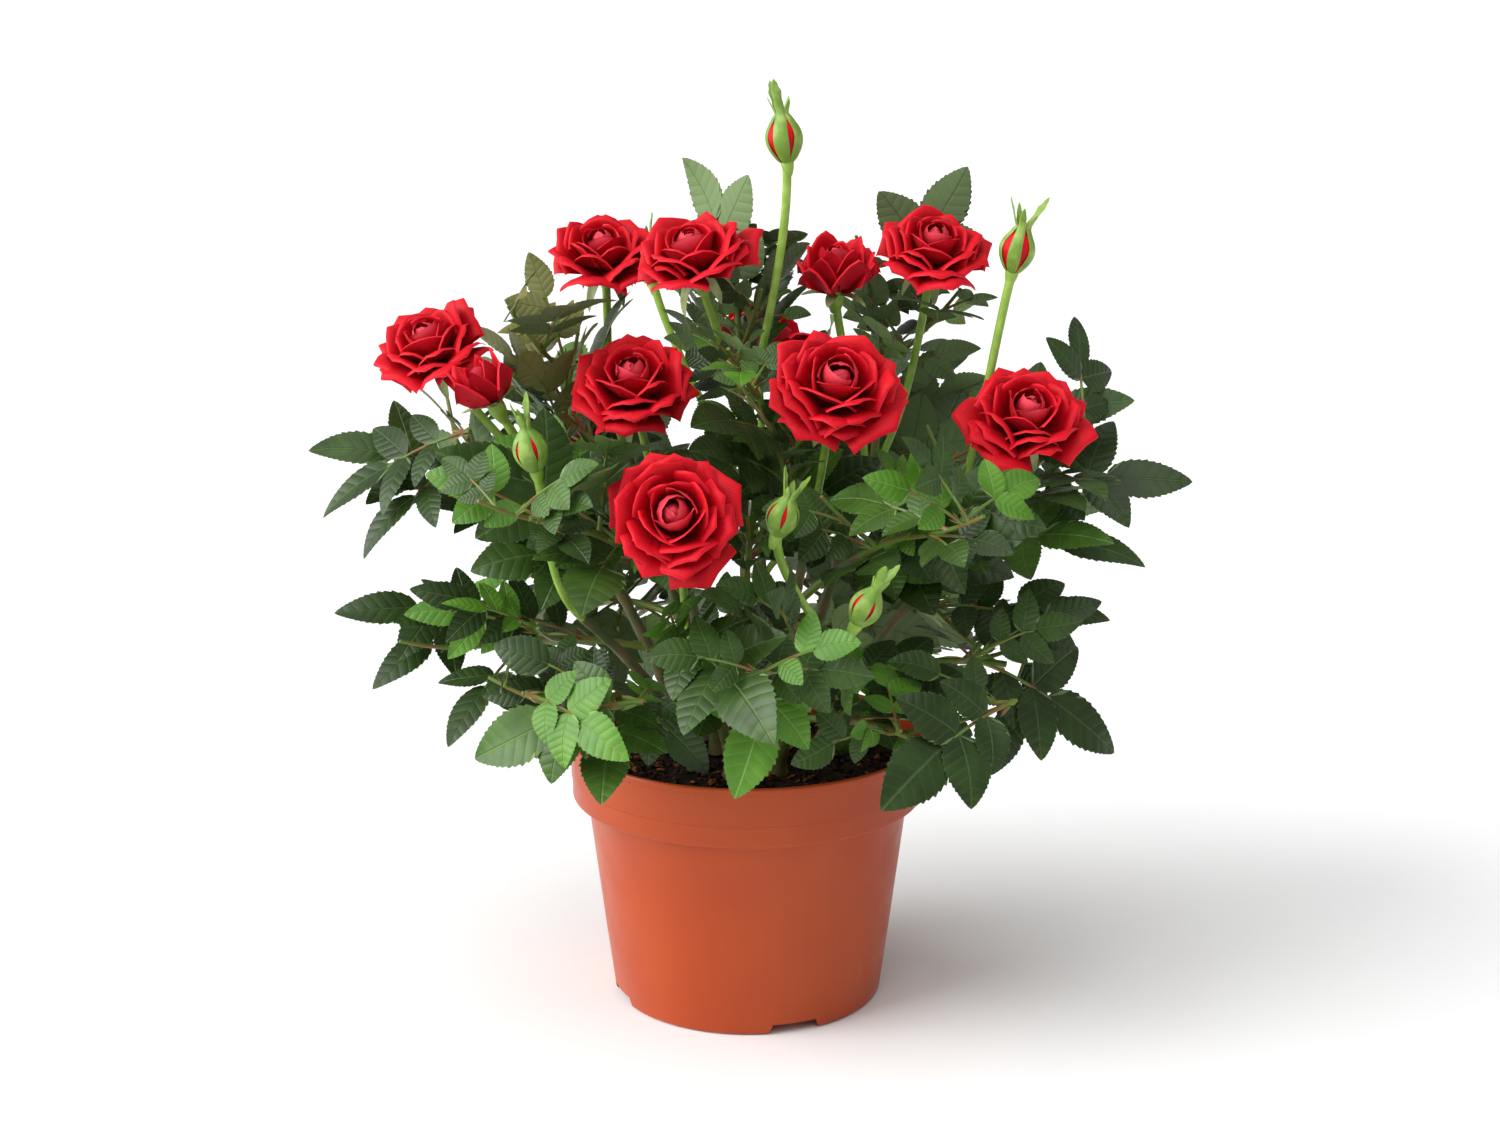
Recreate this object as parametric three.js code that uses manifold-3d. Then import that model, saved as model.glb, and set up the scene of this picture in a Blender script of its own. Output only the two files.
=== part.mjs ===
// A pot rose: a miniature rose bush in a round plastic nursery pot.
// Millimetres, +Z up. The origin is on the ground, at the centre of the pot's foot ring.
//
// The bush grows in four steps, each from the one before:
//   canes    rise from the soil and lean apart, each with its taper and root flare
//   flowers  stand on stalks that carry on from the canes
//   foliage  is one mass for each leafy side shoot, and each mass keeps to its own cell of the crown
//   leaves   are pinnate, with two pairs of leaflets and one at the end, set by a seeded rule

import * as THREE from 'three';
import { mergeVertices } from 'three/addons/utils/BufferGeometryUtils.js';
import Module from 'manifold-3d';

const wasm = await Module();
wasm.setup();

const UP = new THREE.Vector3(0, 0, 1);
const DEGREE = Math.PI / 180;

// ---- driving dimensions -------------------------------------------------------------------------

const CLEARANCE = 0.3; // between pieces that touch

const POT = {
  height: 90,
  rimRadius: 60,
  bandRadius: 59.2, // the foot of the broad band under the rim
  bandDrop: 19.4, // from the rim down to where the band turns in
  stepDrop: 20.6, // from the rim down to where the wall starts, under the band
  wallTopRadius: 54.3,
  footRadius: 45.6,
  wall: 1.6,
  ringHeight: 3.4, // the foot ring holds the floor this far off the ground
  ringWidth: 2.6,
  sides: 30,
  notches: 4, // drainage notches through the foot ring
  firstNotch: 20 * DEGREE,
  notchWidth: 18,
  drainRadius: 1.9,
};

const SOIL = { top: 82, dome: 1.6, edgeDip: 1.5 };

const CANE = { footRadius: 2.1, tipRadius: 1.5, flare: 1.7, levelFoot: true, sides: 5, steps: 4 };
const STALK = { footRadius: 1.2, tipRadius: 1.5, sides: 4, steps: 4 };
const STEM = { footRadius: 1.4, tipRadius: 1.1, sides: 4, steps: 3 };
const TWIG = { footRadius: 0.9, tipRadius: 0.8, sides: 3, steps: 2, length: 34 };

// A compound leaf, as shares of its length from the twig to the tip of its last leaflet.
const LEAF = {
  length: 62,
  pairs: [
    { at: 0.22, leaflet: 0.31 },
    { at: 0.43, leaflet: 0.39 },
  ],
  lastAt: 0.53,
  pairAngle: 62 * DEGREE,
  arch: 0.07, // how far the midpoint rises over a straight line
  pairWidth: 0.6, // of the leaflet's length
  lastWidth: 0.58,
  widest: 0.4, // along the leaflet
  fold: 0.16, // how far the blade's edge stands over its midrib, as a share of the half width
  stalk: 0.65, // half the width of the leaf's stalk
  root: 0.3, // half its width at its root, which is sunk in the twig
  joint: 0.8, // half the width of a leaflet's root
};

// The crown's egg shape, which only the reaching leaves pass.
const CROWN = { middle: 158, halfWidth: 126, halfDepth: 110, above: 106, below: 78 };

const LEAF_GAP = 2.6; // between leaves of one mass
const LIMB_GAP = 2.2; // between a leaf and any limb but its own
const CELL_GAP = 0.4; // between a leaf and the side of its cell
const TRIES = 900; // places that the rule tries in each mass

// Canes: where each stands on the soil and where it forks.
const CANES = {
  left: { foot: [-20, -2], tip: [-60, -6, 168] },
  left_front: { foot: [-17, -14], tip: [-52, -40, 140] },
  front: { foot: [-5, -22], tip: [-16, -50, 132] },
  front_right: { foot: [10, -20], tip: [24, -50, 128] },
  mid_left: { foot: [-10, 2], tip: [-27, -8, 168] },
  centre: { foot: [0, 10], tip: [-2, 8, 190] },
  back_left: { foot: [-15, 16], tip: [-42, 36, 180] },
  centre_right: { foot: [9, -4], tip: [20, -16, 162] },
  right: { foot: [22, -4], tip: [66, -10, 150] },
  back_right: { foot: [15, 12], tip: [46, 22, 182] },
  back: { foot: [2, 24], tip: [6, 62, 150] },
};

// Flowers: the cane each grows on, where its hip is, which way it faces and how wide it is.
// on: 1 carries on from the cane's tip, and less branches from that share of the cane's length.
const FLOWERS = {
  bloom_front: { cane: 'front', on: 1, at: [-21, -76, 180], face: [-0.05, -0.9, 0.42], width: 42 },
  bloom_front_right: { cane: 'centre_right', on: 1, at: [27, -38, 211], face: [0.1, -0.72, 0.68], width: 43 },
  bloom_right: { cane: 'right', on: 1, at: [88, -20, 197], face: [0.12, -0.6, 0.79], width: 42 },
  bloom_mid_left: { cane: 'mid_left', on: 1, at: [-36, -16, 207], face: [-0.05, -0.52, 0.85], width: 41 },
  bloom_left: { cane: 'left', on: 1, at: [-101, 0, 217], face: [-0.3, -0.46, 0.84], width: 38 },
  bloom_top: { cane: 'centre', on: 1, at: [-16, -2, 246], face: [-0.22, -0.36, 0.91], width: 40 },
  bloom_top_left: { cane: 'back_left', on: 1, at: [-48, 32, 243], face: [-0.05, -0.42, 0.9], width: 38 },
  bloom_top_right: { cane: 'back_right', on: 1, at: [61, 18, 246], face: [0.08, -0.46, 0.88], width: 39 },
  bloom_back: { cane: 'back', on: 1, at: [4, 88, 204], face: [0.05, 0.68, 0.73], width: 41 },
  bloom_back_left: { cane: 'back_left', on: 0.55, at: [-52, 84, 168], face: [-0.35, 0.72, 0.6], width: 40 },
  bloom_back_right: { cane: 'back', on: 0.68, at: [47, 88, 162], face: [0.3, 0.76, 0.58], width: 41 },
  half_top: { cane: 'back_right', on: 0.84, at: [29, 16, 237], face: [0.0, -0.25, 0.97], width: 28 },
  half_left: { cane: 'left', on: 0.84, at: [-80, -26, 207], face: [-0.42, -0.2, 0.88], width: 19 },
  bud_top: { cane: 'centre', on: 0.86, at: [12.5, -8, 282], face: [-0.12, 0.0, 0.99], width: 12.5 },
  bud_right: { cane: 'right', on: 0.84, at: [85, -6, 247], face: [0.2, -0.05, 0.98], width: 12 },
  bud_left: { cane: 'left_front', on: 1, at: [-64.5, -60, 193], face: [-0.22, -0.1, 0.97], width: 11 },
  bud_centre: { cane: 'front_right', on: 1, at: [9, -74, 176], face: [0.3, -0.1, 0.95], width: 10 },
  bud_low: { cane: 'front_right', on: 0.8, at: [33, -84, 151], face: [0.45, -0.1, 0.88], width: 10 },
  bud_back: { cane: 'back', on: 0.8, at: [-34, 84, 232], face: [-0.2, 0.15, 0.97], width: 11.5 },
};

// Foliage: the cane and the share of its length where each stem starts, where the stem ends, the middle
// of the cell that the mass keeps to, how many leaves the rule adds, and the tips of reaching leaves.
const FOLIAGE = {
  left_low: {
    cane: 'left', on: 0.42, tip: [-88, -8, 122], cell: [-92, -6, 116], leaves: 6,
    reach: [[-137, -6, 133], [-124, -14, 109], [-96, -42, 98]],
  },
  left_high: {
    cane: 'left', on: 0.72, tip: [-98, 2, 186], cell: [-104, 0, 184], leaves: 6,
    reach: [[-144, -2, 187], [-138, -14, 167], [-122, -34, 158], [-112, 10, 208]],
  },
  front_low_left: {
    cane: 'left_front', on: 0.5, tip: [-52, -70, 116], cell: [-52, -70, 110], leaves: 6,
    reach: [[-84, -72, 104], [-35, -98, 112], [-44, -92, 96]],
  },
  front_middle: {
    cane: 'front', on: 0.6, tip: [2, -84, 134], cell: [2, -84, 130], leaves: 7,
    reach: [[8, -114, 122], [-4, -92, 98]],
  },
  front_high_left: {
    cane: 'mid_left', on: 0.62, tip: [-56, -62, 176], cell: [-54, -60, 172], leaves: 7,
    reach: [[-48, -104, 158]],
  },
  front_low_right: {
    cane: 'front_right', on: 0.45, tip: [50, -68, 110], cell: [50, -70, 106], leaves: 6,
    reach: [[40, -94, 95], [70, -72, 100]],
  },
  front_high_right: {
    cane: 'centre_right', on: 0.66, tip: [50, -60, 172], cell: [44, -60, 168], leaves: 8,
    reach: [[34, -110, 162]],
  },
  right_low: {
    cane: 'right', on: 0.42, tip: [86, -8, 116], cell: [92, -8, 112], leaves: 7,
    reach: [[120, -8, 131], [122, -14, 87], [80, -20, 81]],
  },
  right_high: {
    cane: 'right', on: 0.72, tip: [98, 4, 184], cell: [102, 0, 180], leaves: 7,
    reach: [[146, -4, 177], [129, -20, 152], [127, 2, 203], [108, 14, 229]],
  },
  back_low_left: {
    cane: 'back_left', on: 0.4, tip: [-56, 70, 116], cell: [-50, 76, 112], leaves: 7,
    reach: [[-86, 76, 100], [-30, 112, 118]],
  },
  back_low_right: {
    cane: 'back', on: 0.45, tip: [46, 70, 114], cell: [48, 76, 110], leaves: 7,
    reach: [[84, 74, 98], [30, 112, 104]],
  },
  back_high_left: {
    cane: 'back_left', on: 0.7, tip: [-62, 70, 182], cell: [-58, 70, 182], leaves: 8,
    reach: [[-96, 84, 170], [-68, 98, 206]],
  },
  back_high_right: {
    cane: 'back', on: 0.86, tip: [62, 64, 182], cell: [58, 68, 182], leaves: 7,
    reach: [[102, 72, 176], [26, 116, 168]],
  },
  top_left: {
    cane: 'left', on: 0.93, tip: [-60, 12, 214], cell: [-62, 12, 226], leaves: 7,
    reach: [[-72, 16, 250]],
  },
  top_middle: {
    cane: 'centre', on: 0.92, tip: [-4, 36, 240], cell: [-2, 36, 238], leaves: 7,
    reach: [[-22, 40, 279]],
  },
  top_right: {
    cane: 'back_right', on: 0.9, tip: [46, 44, 236], cell: [54, 34, 240], leaves: 7,
    reach: [[74, 40, 276]],
  },
  upper_front: {
    cane: 'centre_right', on: 0.93, tip: [2, -26, 212], cell: [2, -26, 212], leaves: 8,
    reach: [],
  },
  heart: {
    cane: 'centre', on: 0.5, tip: [2, -16, 168], cell: [0, 6, 154], leaves: 7,
    reach: [],
  },
};

// ---- small tools --------------------------------------------------------------------------------

const vector = (list) => new THREE.Vector3(...list);

// Repeatable numbers from 0 to 1, the same on every run.
function seeded(seed) {
  let state = seed >>> 0;
  return () => {
    state = (state + 0x6d2b79f5) >>> 0;
    let mixed = Math.imul(state ^ (state >>> 15), state | 1);
    mixed ^= mixed + Math.imul(mixed ^ (mixed >>> 7), mixed | 61);
    return ((mixed ^ (mixed >>> 14)) >>> 0) / 4294967296;
  };
}

// A three.js geometry as a manifold-3d solid.
function solid(geometry) {
  const bare = geometry.clone();
  bare.deleteAttribute('normal');
  bare.deleteAttribute('uv');
  const merged = mergeVertices(bare, 1e-4);
  return new wasm.Manifold(
    new wasm.Mesh({
      numProp: 3,
      vertProperties: new Float32Array(merged.attributes.position.array),
      triVerts: new Uint32Array(merged.index.array),
    }),
  );
}

// A manifold-3d solid as a three.js geometry.
function geometryOf(manifold) {
  const { vertProperties, triVerts } = manifold.getMesh();
  return new THREE.BufferGeometry()
    .setAttribute('position', new THREE.BufferAttribute(new Float32Array(vertProperties), 3))
    .setIndex(new THREE.BufferAttribute(new Uint32Array(triVerts), 1));
}

const joined = (solids) => solids.reduce((all, one) => all.add(one));

// The largest body of a solid. Scraps that a cut leaves are dropped, and hollows that a join shuts in are filled.
function largestBody(manifold) {
  const bodies = manifold.decompose();
  return bodies.reduce((best, body) => (body.volume() > best.volume() ? body : best));
}

// A closed body from its corners and triangles.
function faceted(points, triangles) {
  return new THREE.BufferGeometry()
    .setAttribute('position', new THREE.Float32BufferAttribute(points.flatMap((p) => p.toArray()), 3))
    .setIndex(triangles.flat());
}

// ---- limbs --------------------------------------------------------------------------------------

// A limb's line: it leaves its root along one direction and bends to its tip.
function bowedLine(root, leaving, tip) {
  return new THREE.QuadraticBezierCurve3(root, leaving, tip);
}

// A tapering limb: a cylinder bent along the line, with flat ends.
function limbGeometry(line, size, swell = 0) {
  const geometry = new THREE.CylinderGeometry(1, 1, 1, size.sides, size.steps);
  const position = geometry.attributes.position;
  const corner = new THREE.Vector3();
  for (let i = 0; i < position.count; i++) {
    corner.fromBufferAttribute(position, i);
    const share = corner.y + 0.5;
    const along = line.getTangent(share);
    const side = new THREE.Vector3(1, 0, 0).addScaledVector(along, -along.x).normalize();
    const other = new THREE.Vector3().crossVectors(along, side);
    const flare = 1 + ((size.flare ?? 1) - 1) * Math.max(0, 1 - share * size.steps);
    const radius = THREE.MathUtils.lerp(size.footRadius, size.tipRadius, share) * flare + swell;
    const root = line.getPoint(share);
    const place = root.clone()
      .addScaledVector(side, corner.z * radius)
      .addScaledVector(other, corner.x * radius);
    position.setXYZ(i, place.x, place.y, size.levelFoot && share < 1e-6 ? root.z : place.z);
  }
  return geometry;
}

// Points along a limb, which leaves keep away from.
function limbTrack(line, radius, parts = 8) {
  return { points: line.getPoints(parts), radius };
}

function caneLine({ foot, tip }) {
  const root = new THREE.Vector3(foot[0], foot[1], SOIL.top + CLEARANCE + soilRise(Math.hypot(...foot)));
  const end = vector(tip);
  const leaving = new THREE.Vector3(
    THREE.MathUtils.lerp(root.x, end.x, 0.3),
    THREE.MathUtils.lerp(root.y, end.y, 0.3),
    THREE.MathUtils.lerp(root.z, end.z, 0.55),
  );
  return bowedLine(root, leaving, end);
}

// A flower's stalk leaves the cane along its direction and arrives along the way the flower faces.
function stalkLine(flower, canes) {
  const cane = canes[flower.cane].line;
  const hip = vector(flower.at);
  const root = cane.getPoint(flower.on);
  const along = cane.getTangent(flower.on);
  const reach = root.distanceTo(hip);
  const leaving = along.clone();
  if (flower.on === 1) root.addScaledVector(along, CLEARANCE);
  else leaving.add(hip.clone().sub(root).normalize()).normalize();
  const arriving = vector(flower.face).normalize().lerp(hip.clone().sub(root).normalize(), 0.35);
  return new THREE.CubicBezierCurve3(
    root,
    root.clone().addScaledVector(leaving, 0.33 * reach),
    hip.clone().addScaledVector(arriving, -0.33 * reach),
    hip,
  );
}

// ---- pot and soil -------------------------------------------------------------------------------

// The soil's height over its level at a distance from its middle.
function soilRise(radius) {
  return radius < 30 ? 0 : -SOIL.edgeDip * Math.min(1, (radius - 30) / 20);
}

function latheSolid(profile) {
  const lathe = new THREE.LatheGeometry(profile.map(([r, z]) => new THREE.Vector2(r, z)), POT.sides);
  return solid(lathe.rotateX(Math.PI / 2));
}

// The inner face of the wall, at a height between the floor and the step.
function innerRadius(z) {
  const share = z / (POT.height - POT.stepDrop);
  return THREE.MathUtils.lerp(POT.footRadius, POT.wallTopRadius, share) - POT.wall;
}

function makePot() {
  const stepTop = POT.height - POT.bandDrop;
  const stepFoot = POT.height - POT.stepDrop;
  const floorTop = POT.ringHeight + POT.wall;
  let pot = latheSolid([
    [0, POT.ringHeight],
    [POT.footRadius - POT.ringWidth, POT.ringHeight],
    [POT.footRadius - POT.ringWidth, 0],
    [POT.footRadius - 0.6, 0],
    [POT.footRadius, 0.8],
    [POT.wallTopRadius, stepFoot],
    [POT.bandRadius - 1, stepFoot + 0.2],
    [POT.bandRadius, stepTop],
    [POT.rimRadius, POT.height - 1],
    [POT.rimRadius - 0.6, POT.height],
    [POT.rimRadius - POT.wall, POT.height],
    [POT.bandRadius - POT.wall, stepFoot + POT.wall],
    [POT.wallTopRadius - POT.wall, stepFoot + POT.wall - 0.4],
    [innerRadius(floorTop), floorTop],
    [0, floorTop],
  ]);
  for (let i = 0; i < POT.notches; i++) {
    const turn = POT.firstNotch + (i / POT.notches) * 2 * Math.PI;
    const notch = new THREE.BoxGeometry(12, POT.notchWidth, 2 * POT.ringHeight)
      .translate(POT.footRadius - 1, 0, 0)
      .rotateZ(turn);
    const drain = new THREE.CylinderGeometry(POT.drainRadius, POT.drainRadius, 8, 6)
      .rotateX(Math.PI / 2)
      .translate(POT.footRadius - 11, 0, POT.ringHeight)
      .rotateZ(turn);
    pot = pot.subtract(solid(notch)).subtract(solid(drain));
  }
  return pot;
}

function makeSoil() {
  const gap = CLEARANCE + 0.1;
  const ledge = POT.height - POT.stepDrop + POT.wall + gap;
  const floor = POT.ringHeight + POT.wall + gap;
  return latheSolid([
    [0, floor],
    [innerRadius(floor) - gap, floor],
    [POT.wallTopRadius - POT.wall - gap, ledge],
    [POT.bandRadius - POT.wall - gap, ledge],
    [POT.bandRadius - POT.wall - gap, SOIL.top - SOIL.edgeDip],
    [50, SOIL.top - SOIL.edgeDip],
    [30, SOIL.top],
    [0, SOIL.top],
  ]);
}

// ---- flowers ------------------------------------------------------------------------------------

// A whorl of petals as one star-shaped bowl with pointed corners.
function whorl(corners, radius, hollow, rim, base, turn) {
  const points = [new THREE.Vector3(0, 0, base), new THREE.Vector3(0, 0, hollow)];
  const triangles = [];
  for (let i = 0; i < corners; i++) {
    const angle = turn + (i / corners) * 2 * Math.PI;
    const pointed = i % 2 === 0;
    const r = radius * (pointed ? 1 : 0.84);
    const z = rim - (pointed ? 0.06 * radius : 0);
    points.push(new THREE.Vector3(r * Math.cos(angle), r * Math.sin(angle), z));
    const here = 2 + i;
    const next = 2 + ((i + 1) % corners);
    triangles.push([0, next, here], [1, here, next]);
  }
  return solid(faceted(points, triangles));
}

// An egg on the flower's axis, as a hip or a closed bud.
function egg(radius, low, high, sides) {
  const profile = [[0, low], [0.55, 0.16], [1, 0.5], [0.6, 0.82], [0, 1]]
    .map(([r, z], i) => new THREE.Vector2(r * radius, i === 0 ? low : low + (high - low) * z));
  return solid(new THREE.LatheGeometry(profile, sides).rotateX(Math.PI / 2));
}

// A thin pointed sepal that leans out from the hip.
function sepal(length, lean, turn, low) {
  const half = length * 0.13;
  const points = [
    [0, 0, 0], [half, 0, length * 0.4], [-half, 0, length * 0.4], [0, 0, length],
    [0, 0.7, length * 0.35], [0, -0.7, length * 0.35],
  ].map((p) => vector(p));
  const triangles = [[1, 0, 4], [3, 1, 4], [2, 3, 4], [0, 2, 4], [0, 1, 5], [1, 3, 5], [3, 2, 5], [2, 0, 5]];
  return solid(faceted(points, triangles).rotateX(lean).rotateZ(turn).translate(0, 0, low));
}

// The head of a flower, with its hip at the origin and facing +Z.
function makeHead(width) {
  const radius = width / 2;
  if (width < 15) {
    const bud = egg(radius, -2.5, radius * 2.3, 6);
    const sepals = [0, 1, 2].map((i) => sepal(radius * 1.9, 0.22, i * 2.1, radius * 1.3));
    return joined([bud, ...sepals]);
  }
  const open = THREE.MathUtils.smoothstep(width, 18, 40);
  const height = THREE.MathUtils.lerp(radius * 1.9, radius * 0.72, open);
  const hip = egg(radius * 0.24 + 1, -4, 4, 5);
  const whorls = [
    whorl(10, radius, height * 0.46, height * 0.62, -0.5, 0),
    whorl(8, radius * 0.74, height * 0.66, height * 0.9, 1, 0.4),
    whorl(6, radius * 0.4, height * 1.08, height * 0.96, 2.5, 0.3),
  ];
  return joined([hip, ...whorls]);
}

function facing(face) {
  return new THREE.Quaternion().setFromUnitVectors(UP, vector(face).normalize());
}

function makeFlower(flower, line, canes) {
  const place = new THREE.Matrix4().makeRotationFromQuaternion(facing(flower.face)).setPosition(...flower.at);
  const head = makeHead(flower.width).transform(place.elements);
  const stalk = solid(limbGeometry(line, STALK));
  const whole = head.add(stalk);
  return largestBody(flower.on === 1 ? whole : whole.subtract(canes[flower.cane].swollen));
}

// ---- leaves -------------------------------------------------------------------------------------

// One leaflet: where it starts and ends, the way its face looks, and its width.
function leaflet(base, tip, face, width) {
  const along = tip.clone().sub(base);
  const length = along.length();
  along.normalize();
  const normal = face.clone().addScaledVector(along, -face.dot(along)).normalize();
  const side = new THREE.Vector3().crossVectors(normal, along);
  const at = (u, v) => base.clone()
    .addScaledVector(along, u * length)
    .addScaledVector(side, v * width * 0.5)
    .addScaledVector(normal, Math.abs(v) * LEAF.fold * width * 0.5);
  return { at };
}

// Points spread over a leaflet, for the tests of where it may lie.
function leafletPoints(blade) {
  const points = [];
  for (const u of [0.04, 0.2, 0.4, 0.6, 0.8, 1]) {
    const reach = u < LEAF.widest ? u / LEAF.widest : (1 - u) / (1 - LEAF.widest);
    for (const v of reach > 0.3 ? [-1, -0.5, 0, 0.5, 1] : [0]) points.push(blade.at(u, v * reach));
  }
  return points;
}

// A compound leaf from its root on a twig to the tip of its last leaflet. Its leaflets are in the order
// near left, near right, far left, far right, last.
function compoundLeaf(root, tip, face) {
  const length = tip.distanceTo(root);
  const middle = root.clone().lerp(tip, 0.5).addScaledVector(UP, 2 * LEAF.arch * length);
  const line = bowedLine(root, middle, tip);
  const leaflets = [];
  for (const pair of LEAF.pairs) {
    for (const hand of [1, -1]) {
      const base = line.getPoint(pair.at);
      const along = line.getTangent(pair.at);
      const side = new THREE.Vector3().crossVectors(face, along).normalize().multiplyScalar(hand);
      const way = along.clone().multiplyScalar(Math.cos(LEAF.pairAngle))
        .addScaledVector(side, Math.sin(LEAF.pairAngle));
      const reach = pair.leaflet * length;
      leaflets.push(leaflet(base, base.clone().addScaledVector(way, reach), face, reach * LEAF.pairWidth));
    }
  }
  const lastBase = line.getPoint(LEAF.lastAt);
  leaflets.push(leaflet(lastBase, tip, face, lastBase.distanceTo(tip) * LEAF.lastWidth));
  return { line, face, leaflets };
}

// The leaf as one closed body: a three-sided stalk that opens into each leaflet, and each leaflet a
// blade with a flat top and a keel. A leaflet that is missing leaves a closed side.
function leafSolid({ line, face, leaflets }) {
  const points = [];
  const triangles = [];
  const add = (p) => points.push(p) - 1;
  const station = (share, offset, width) => {
    const along = line.getTangent(share);
    const side = new THREE.Vector3().crossVectors(face, along).normalize().multiplyScalar(width);
    const centre = line.getPoint(share).addScaledVector(along, offset);
    return [add(centre.clone().add(side)), add(centre.clone().sub(side))];
  };
  const keel = (share, width) => add(line.getPoint(share).addScaledVector(face, -1.5 * width));
  const bridge = ([l0, r0], k0, [l1, r1], k1) => triangles.push(
    [r0, r1, l1], [r0, l1, l0], [l0, l1, k1], [l0, k1, k0], [r0, k1, r1], [r0, k0, k1],
  );

  let previous = station(0, 0, LEAF.root);
  let previousKeel = keel(0, LEAF.root);
  triangles.push([previous[0], previousKeel, previous[1]]);
  LEAF.pairs.forEach((pair, i) => {
    const near = station(pair.at, -LEAF.joint, LEAF.stalk);
    const far = station(pair.at, LEAF.joint, LEAF.stalk);
    const k = keel(pair.at, LEAF.stalk);
    bridge(previous, previousKeel, near, k);
    triangles.push([near[1], far[1], far[0]], [near[1], far[0], near[0]]);
    for (const [hand, turn] of [[0, (t) => t], [1, ([p, q, r]) => [p, r, q]]]) {
      const blade = leaflets[2 * i + hand];
      const [n, f] = [near[hand], far[hand]];
      if (!blade) {
        triangles.push(turn([n, f, k]));
        continue;
      }
      const v = hand === 0 ? 1 : -1;
      const a = add(blade.at(LEAF.widest, v));
      const b = add(blade.at(LEAF.widest, -v));
      const t = add(blade.at(1, 0));
      triangles.push(
        ...[[n, f, b], [n, b, a], [a, b, t], [n, a, k], [k, a, t], [k, t, b], [k, b, f]].map(turn),
      );
    }
    [previous, previousKeel] = [far, k];
  });
  const blade = leaflets[2 * LEAF.pairs.length];
  const [l, r] = previous;
  const [a, b, t] = [add(blade.at(LEAF.widest, 1)), add(blade.at(LEAF.widest, -1)), add(blade.at(1, 0))];
  const k = previousKeel;
  triangles.push([r, b, a], [r, a, l], [b, t, a], [l, a, k], [k, a, t], [k, t, b], [r, k, b]);
  return solid(faceted(points, triangles));
}

// ---- where a leaf may lie -----------------------------------------------------------------------

function insideCrown(p) {
  const up = p.z - CROWN.middle;
  const tall = up > 0 ? CROWN.above : CROWN.below;
  return Math.hypot(p.x / CROWN.halfWidth, p.y / CROWN.halfDepth, up / tall) <= 1;
}

// Clear of the pot: over its rim, outside its band, or low inside it over the soil.
function clearOfPot(p) {
  const r = Math.hypot(p.x, p.y);
  return p.z > POT.height + 2 || r > POT.rimRadius + 2 || (r < POT.rimRadius - 5 && p.z > SOIL.top + 2);
}

// Nearer to the middle of its own cell than to that of any other.
function inCell(p, own) {
  return cellMiddles.every((other) => other === own
    || p.distanceToSquared(other) - p.distanceToSquared(own) > 2 * CELL_GAP * other.distanceTo(own));
}

function clearOfLimbs(p, limbs) {
  const nearest = new THREE.Vector3();
  const track = new THREE.Line3();
  return limbs.every(({ points, radius }) => points.every((end, i) => {
    if (i === 0) return true;
    track.set(points[i - 1], end).closestPointToPoint(p, true, nearest);
    return nearest.distanceTo(p) > radius + LIMB_GAP;
  }));
}

// Clear of each flower's head and of the space that the flower looks into.
function clearOfFlowers(p, zones) {
  return zones.every(({ at, face, radius, deep, ahead }) => {
    const away = p.clone().sub(at);
    const along = away.dot(face);
    const out = Math.sqrt(Math.max(0, away.lengthSq() - along * along));
    if (along > 0 && along < ahead) return out > radius * (1 - 0.4 * (along / ahead));
    return Math.hypot(out / radius, along / deep) > 1;
  });
}

function mayLie(points, rules, reaching) {
  return points.every((p) => inCell(p, rules.cell)
    && (reaching || insideCrown(p))
    && clearOfPot(p)
    && clearOfFlowers(p, rules.zones)
    && clearOfLimbs(p, rules.limbs)
    && rules.taken.every((q) => q.distanceToSquared(p) > LEAF_GAP * LEAF_GAP));
}

// ---- foliage ------------------------------------------------------------------------------------

const cellMiddles = Object.values(FOLIAGE).map((mass) => vector(mass.cell));
const crownRoot = new THREE.Vector3(0, 0, CROWN.middle - 40);

// Numbers that are a mass's own, from its name.
const seedOf = (name) => [...name].reduce((sum, letter) => (sum * 31 + letter.charCodeAt(0)) % 1000003, 7);

// The way a leaf's face looks: up, out from the middle of the crown, and to the nearer of front and back.
function leafFace(root, tip, lean) {
  const along = tip.clone().sub(root).normalize();
  const out = tip.clone().sub(crownRoot).normalize();
  const face = UP.clone().multiplyScalar(0.6).addScaledVector(out, 0.55).add(lean);
  face.y += tip.y < 10 ? -0.75 : 0.75;
  return face.addScaledVector(along, -face.dot(along)).normalize();
}

function stemLine(mass, canes) {
  const cane = canes[mass.cane].line;
  const root = cane.getPoint(mass.on);
  const tip = vector(mass.tip);
  const leaving = root.clone().lerp(tip, 0.5)
    .addScaledVector(cane.getTangent(mass.on), 0.12 * root.distanceTo(tip));
  return bowedLine(root, leaving, tip);
}

// Twigs branch from the stem at the turn that spreads leaves evenly, and stay in the mass's cell.
function growTwigs(stem, random, rules) {
  const twigs = [];
  const first = 2 * Math.PI * random();
  for (const [i, share] of [0.5, 0.72, 0.92].entries()) {
    const turn = first + i * 137.5 * DEGREE;
    const size = TWIG.length * (0.8 + 0.4 * random());
    const root = stem.getPoint(share);
    const along = stem.getTangent(share);
    const way = new THREE.Vector3(Math.cos(turn), Math.sin(turn), 0.35)
      .addScaledVector(along, 0.7).normalize();
    for (const part of [1, 0.8, 0.6]) {
      const tip = root.clone().addScaledVector(way, size * part);
      const middle = root.clone().lerp(tip, 0.5).addScaledVector(UP, -0.08 * size);
      const line = bowedLine(root, middle, tip);
      if (mayLie(line.getPoints(6).slice(1), rules, false)) {
        twigs.push(line);
        break;
      }
    }
  }
  return twigs;
}

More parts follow.
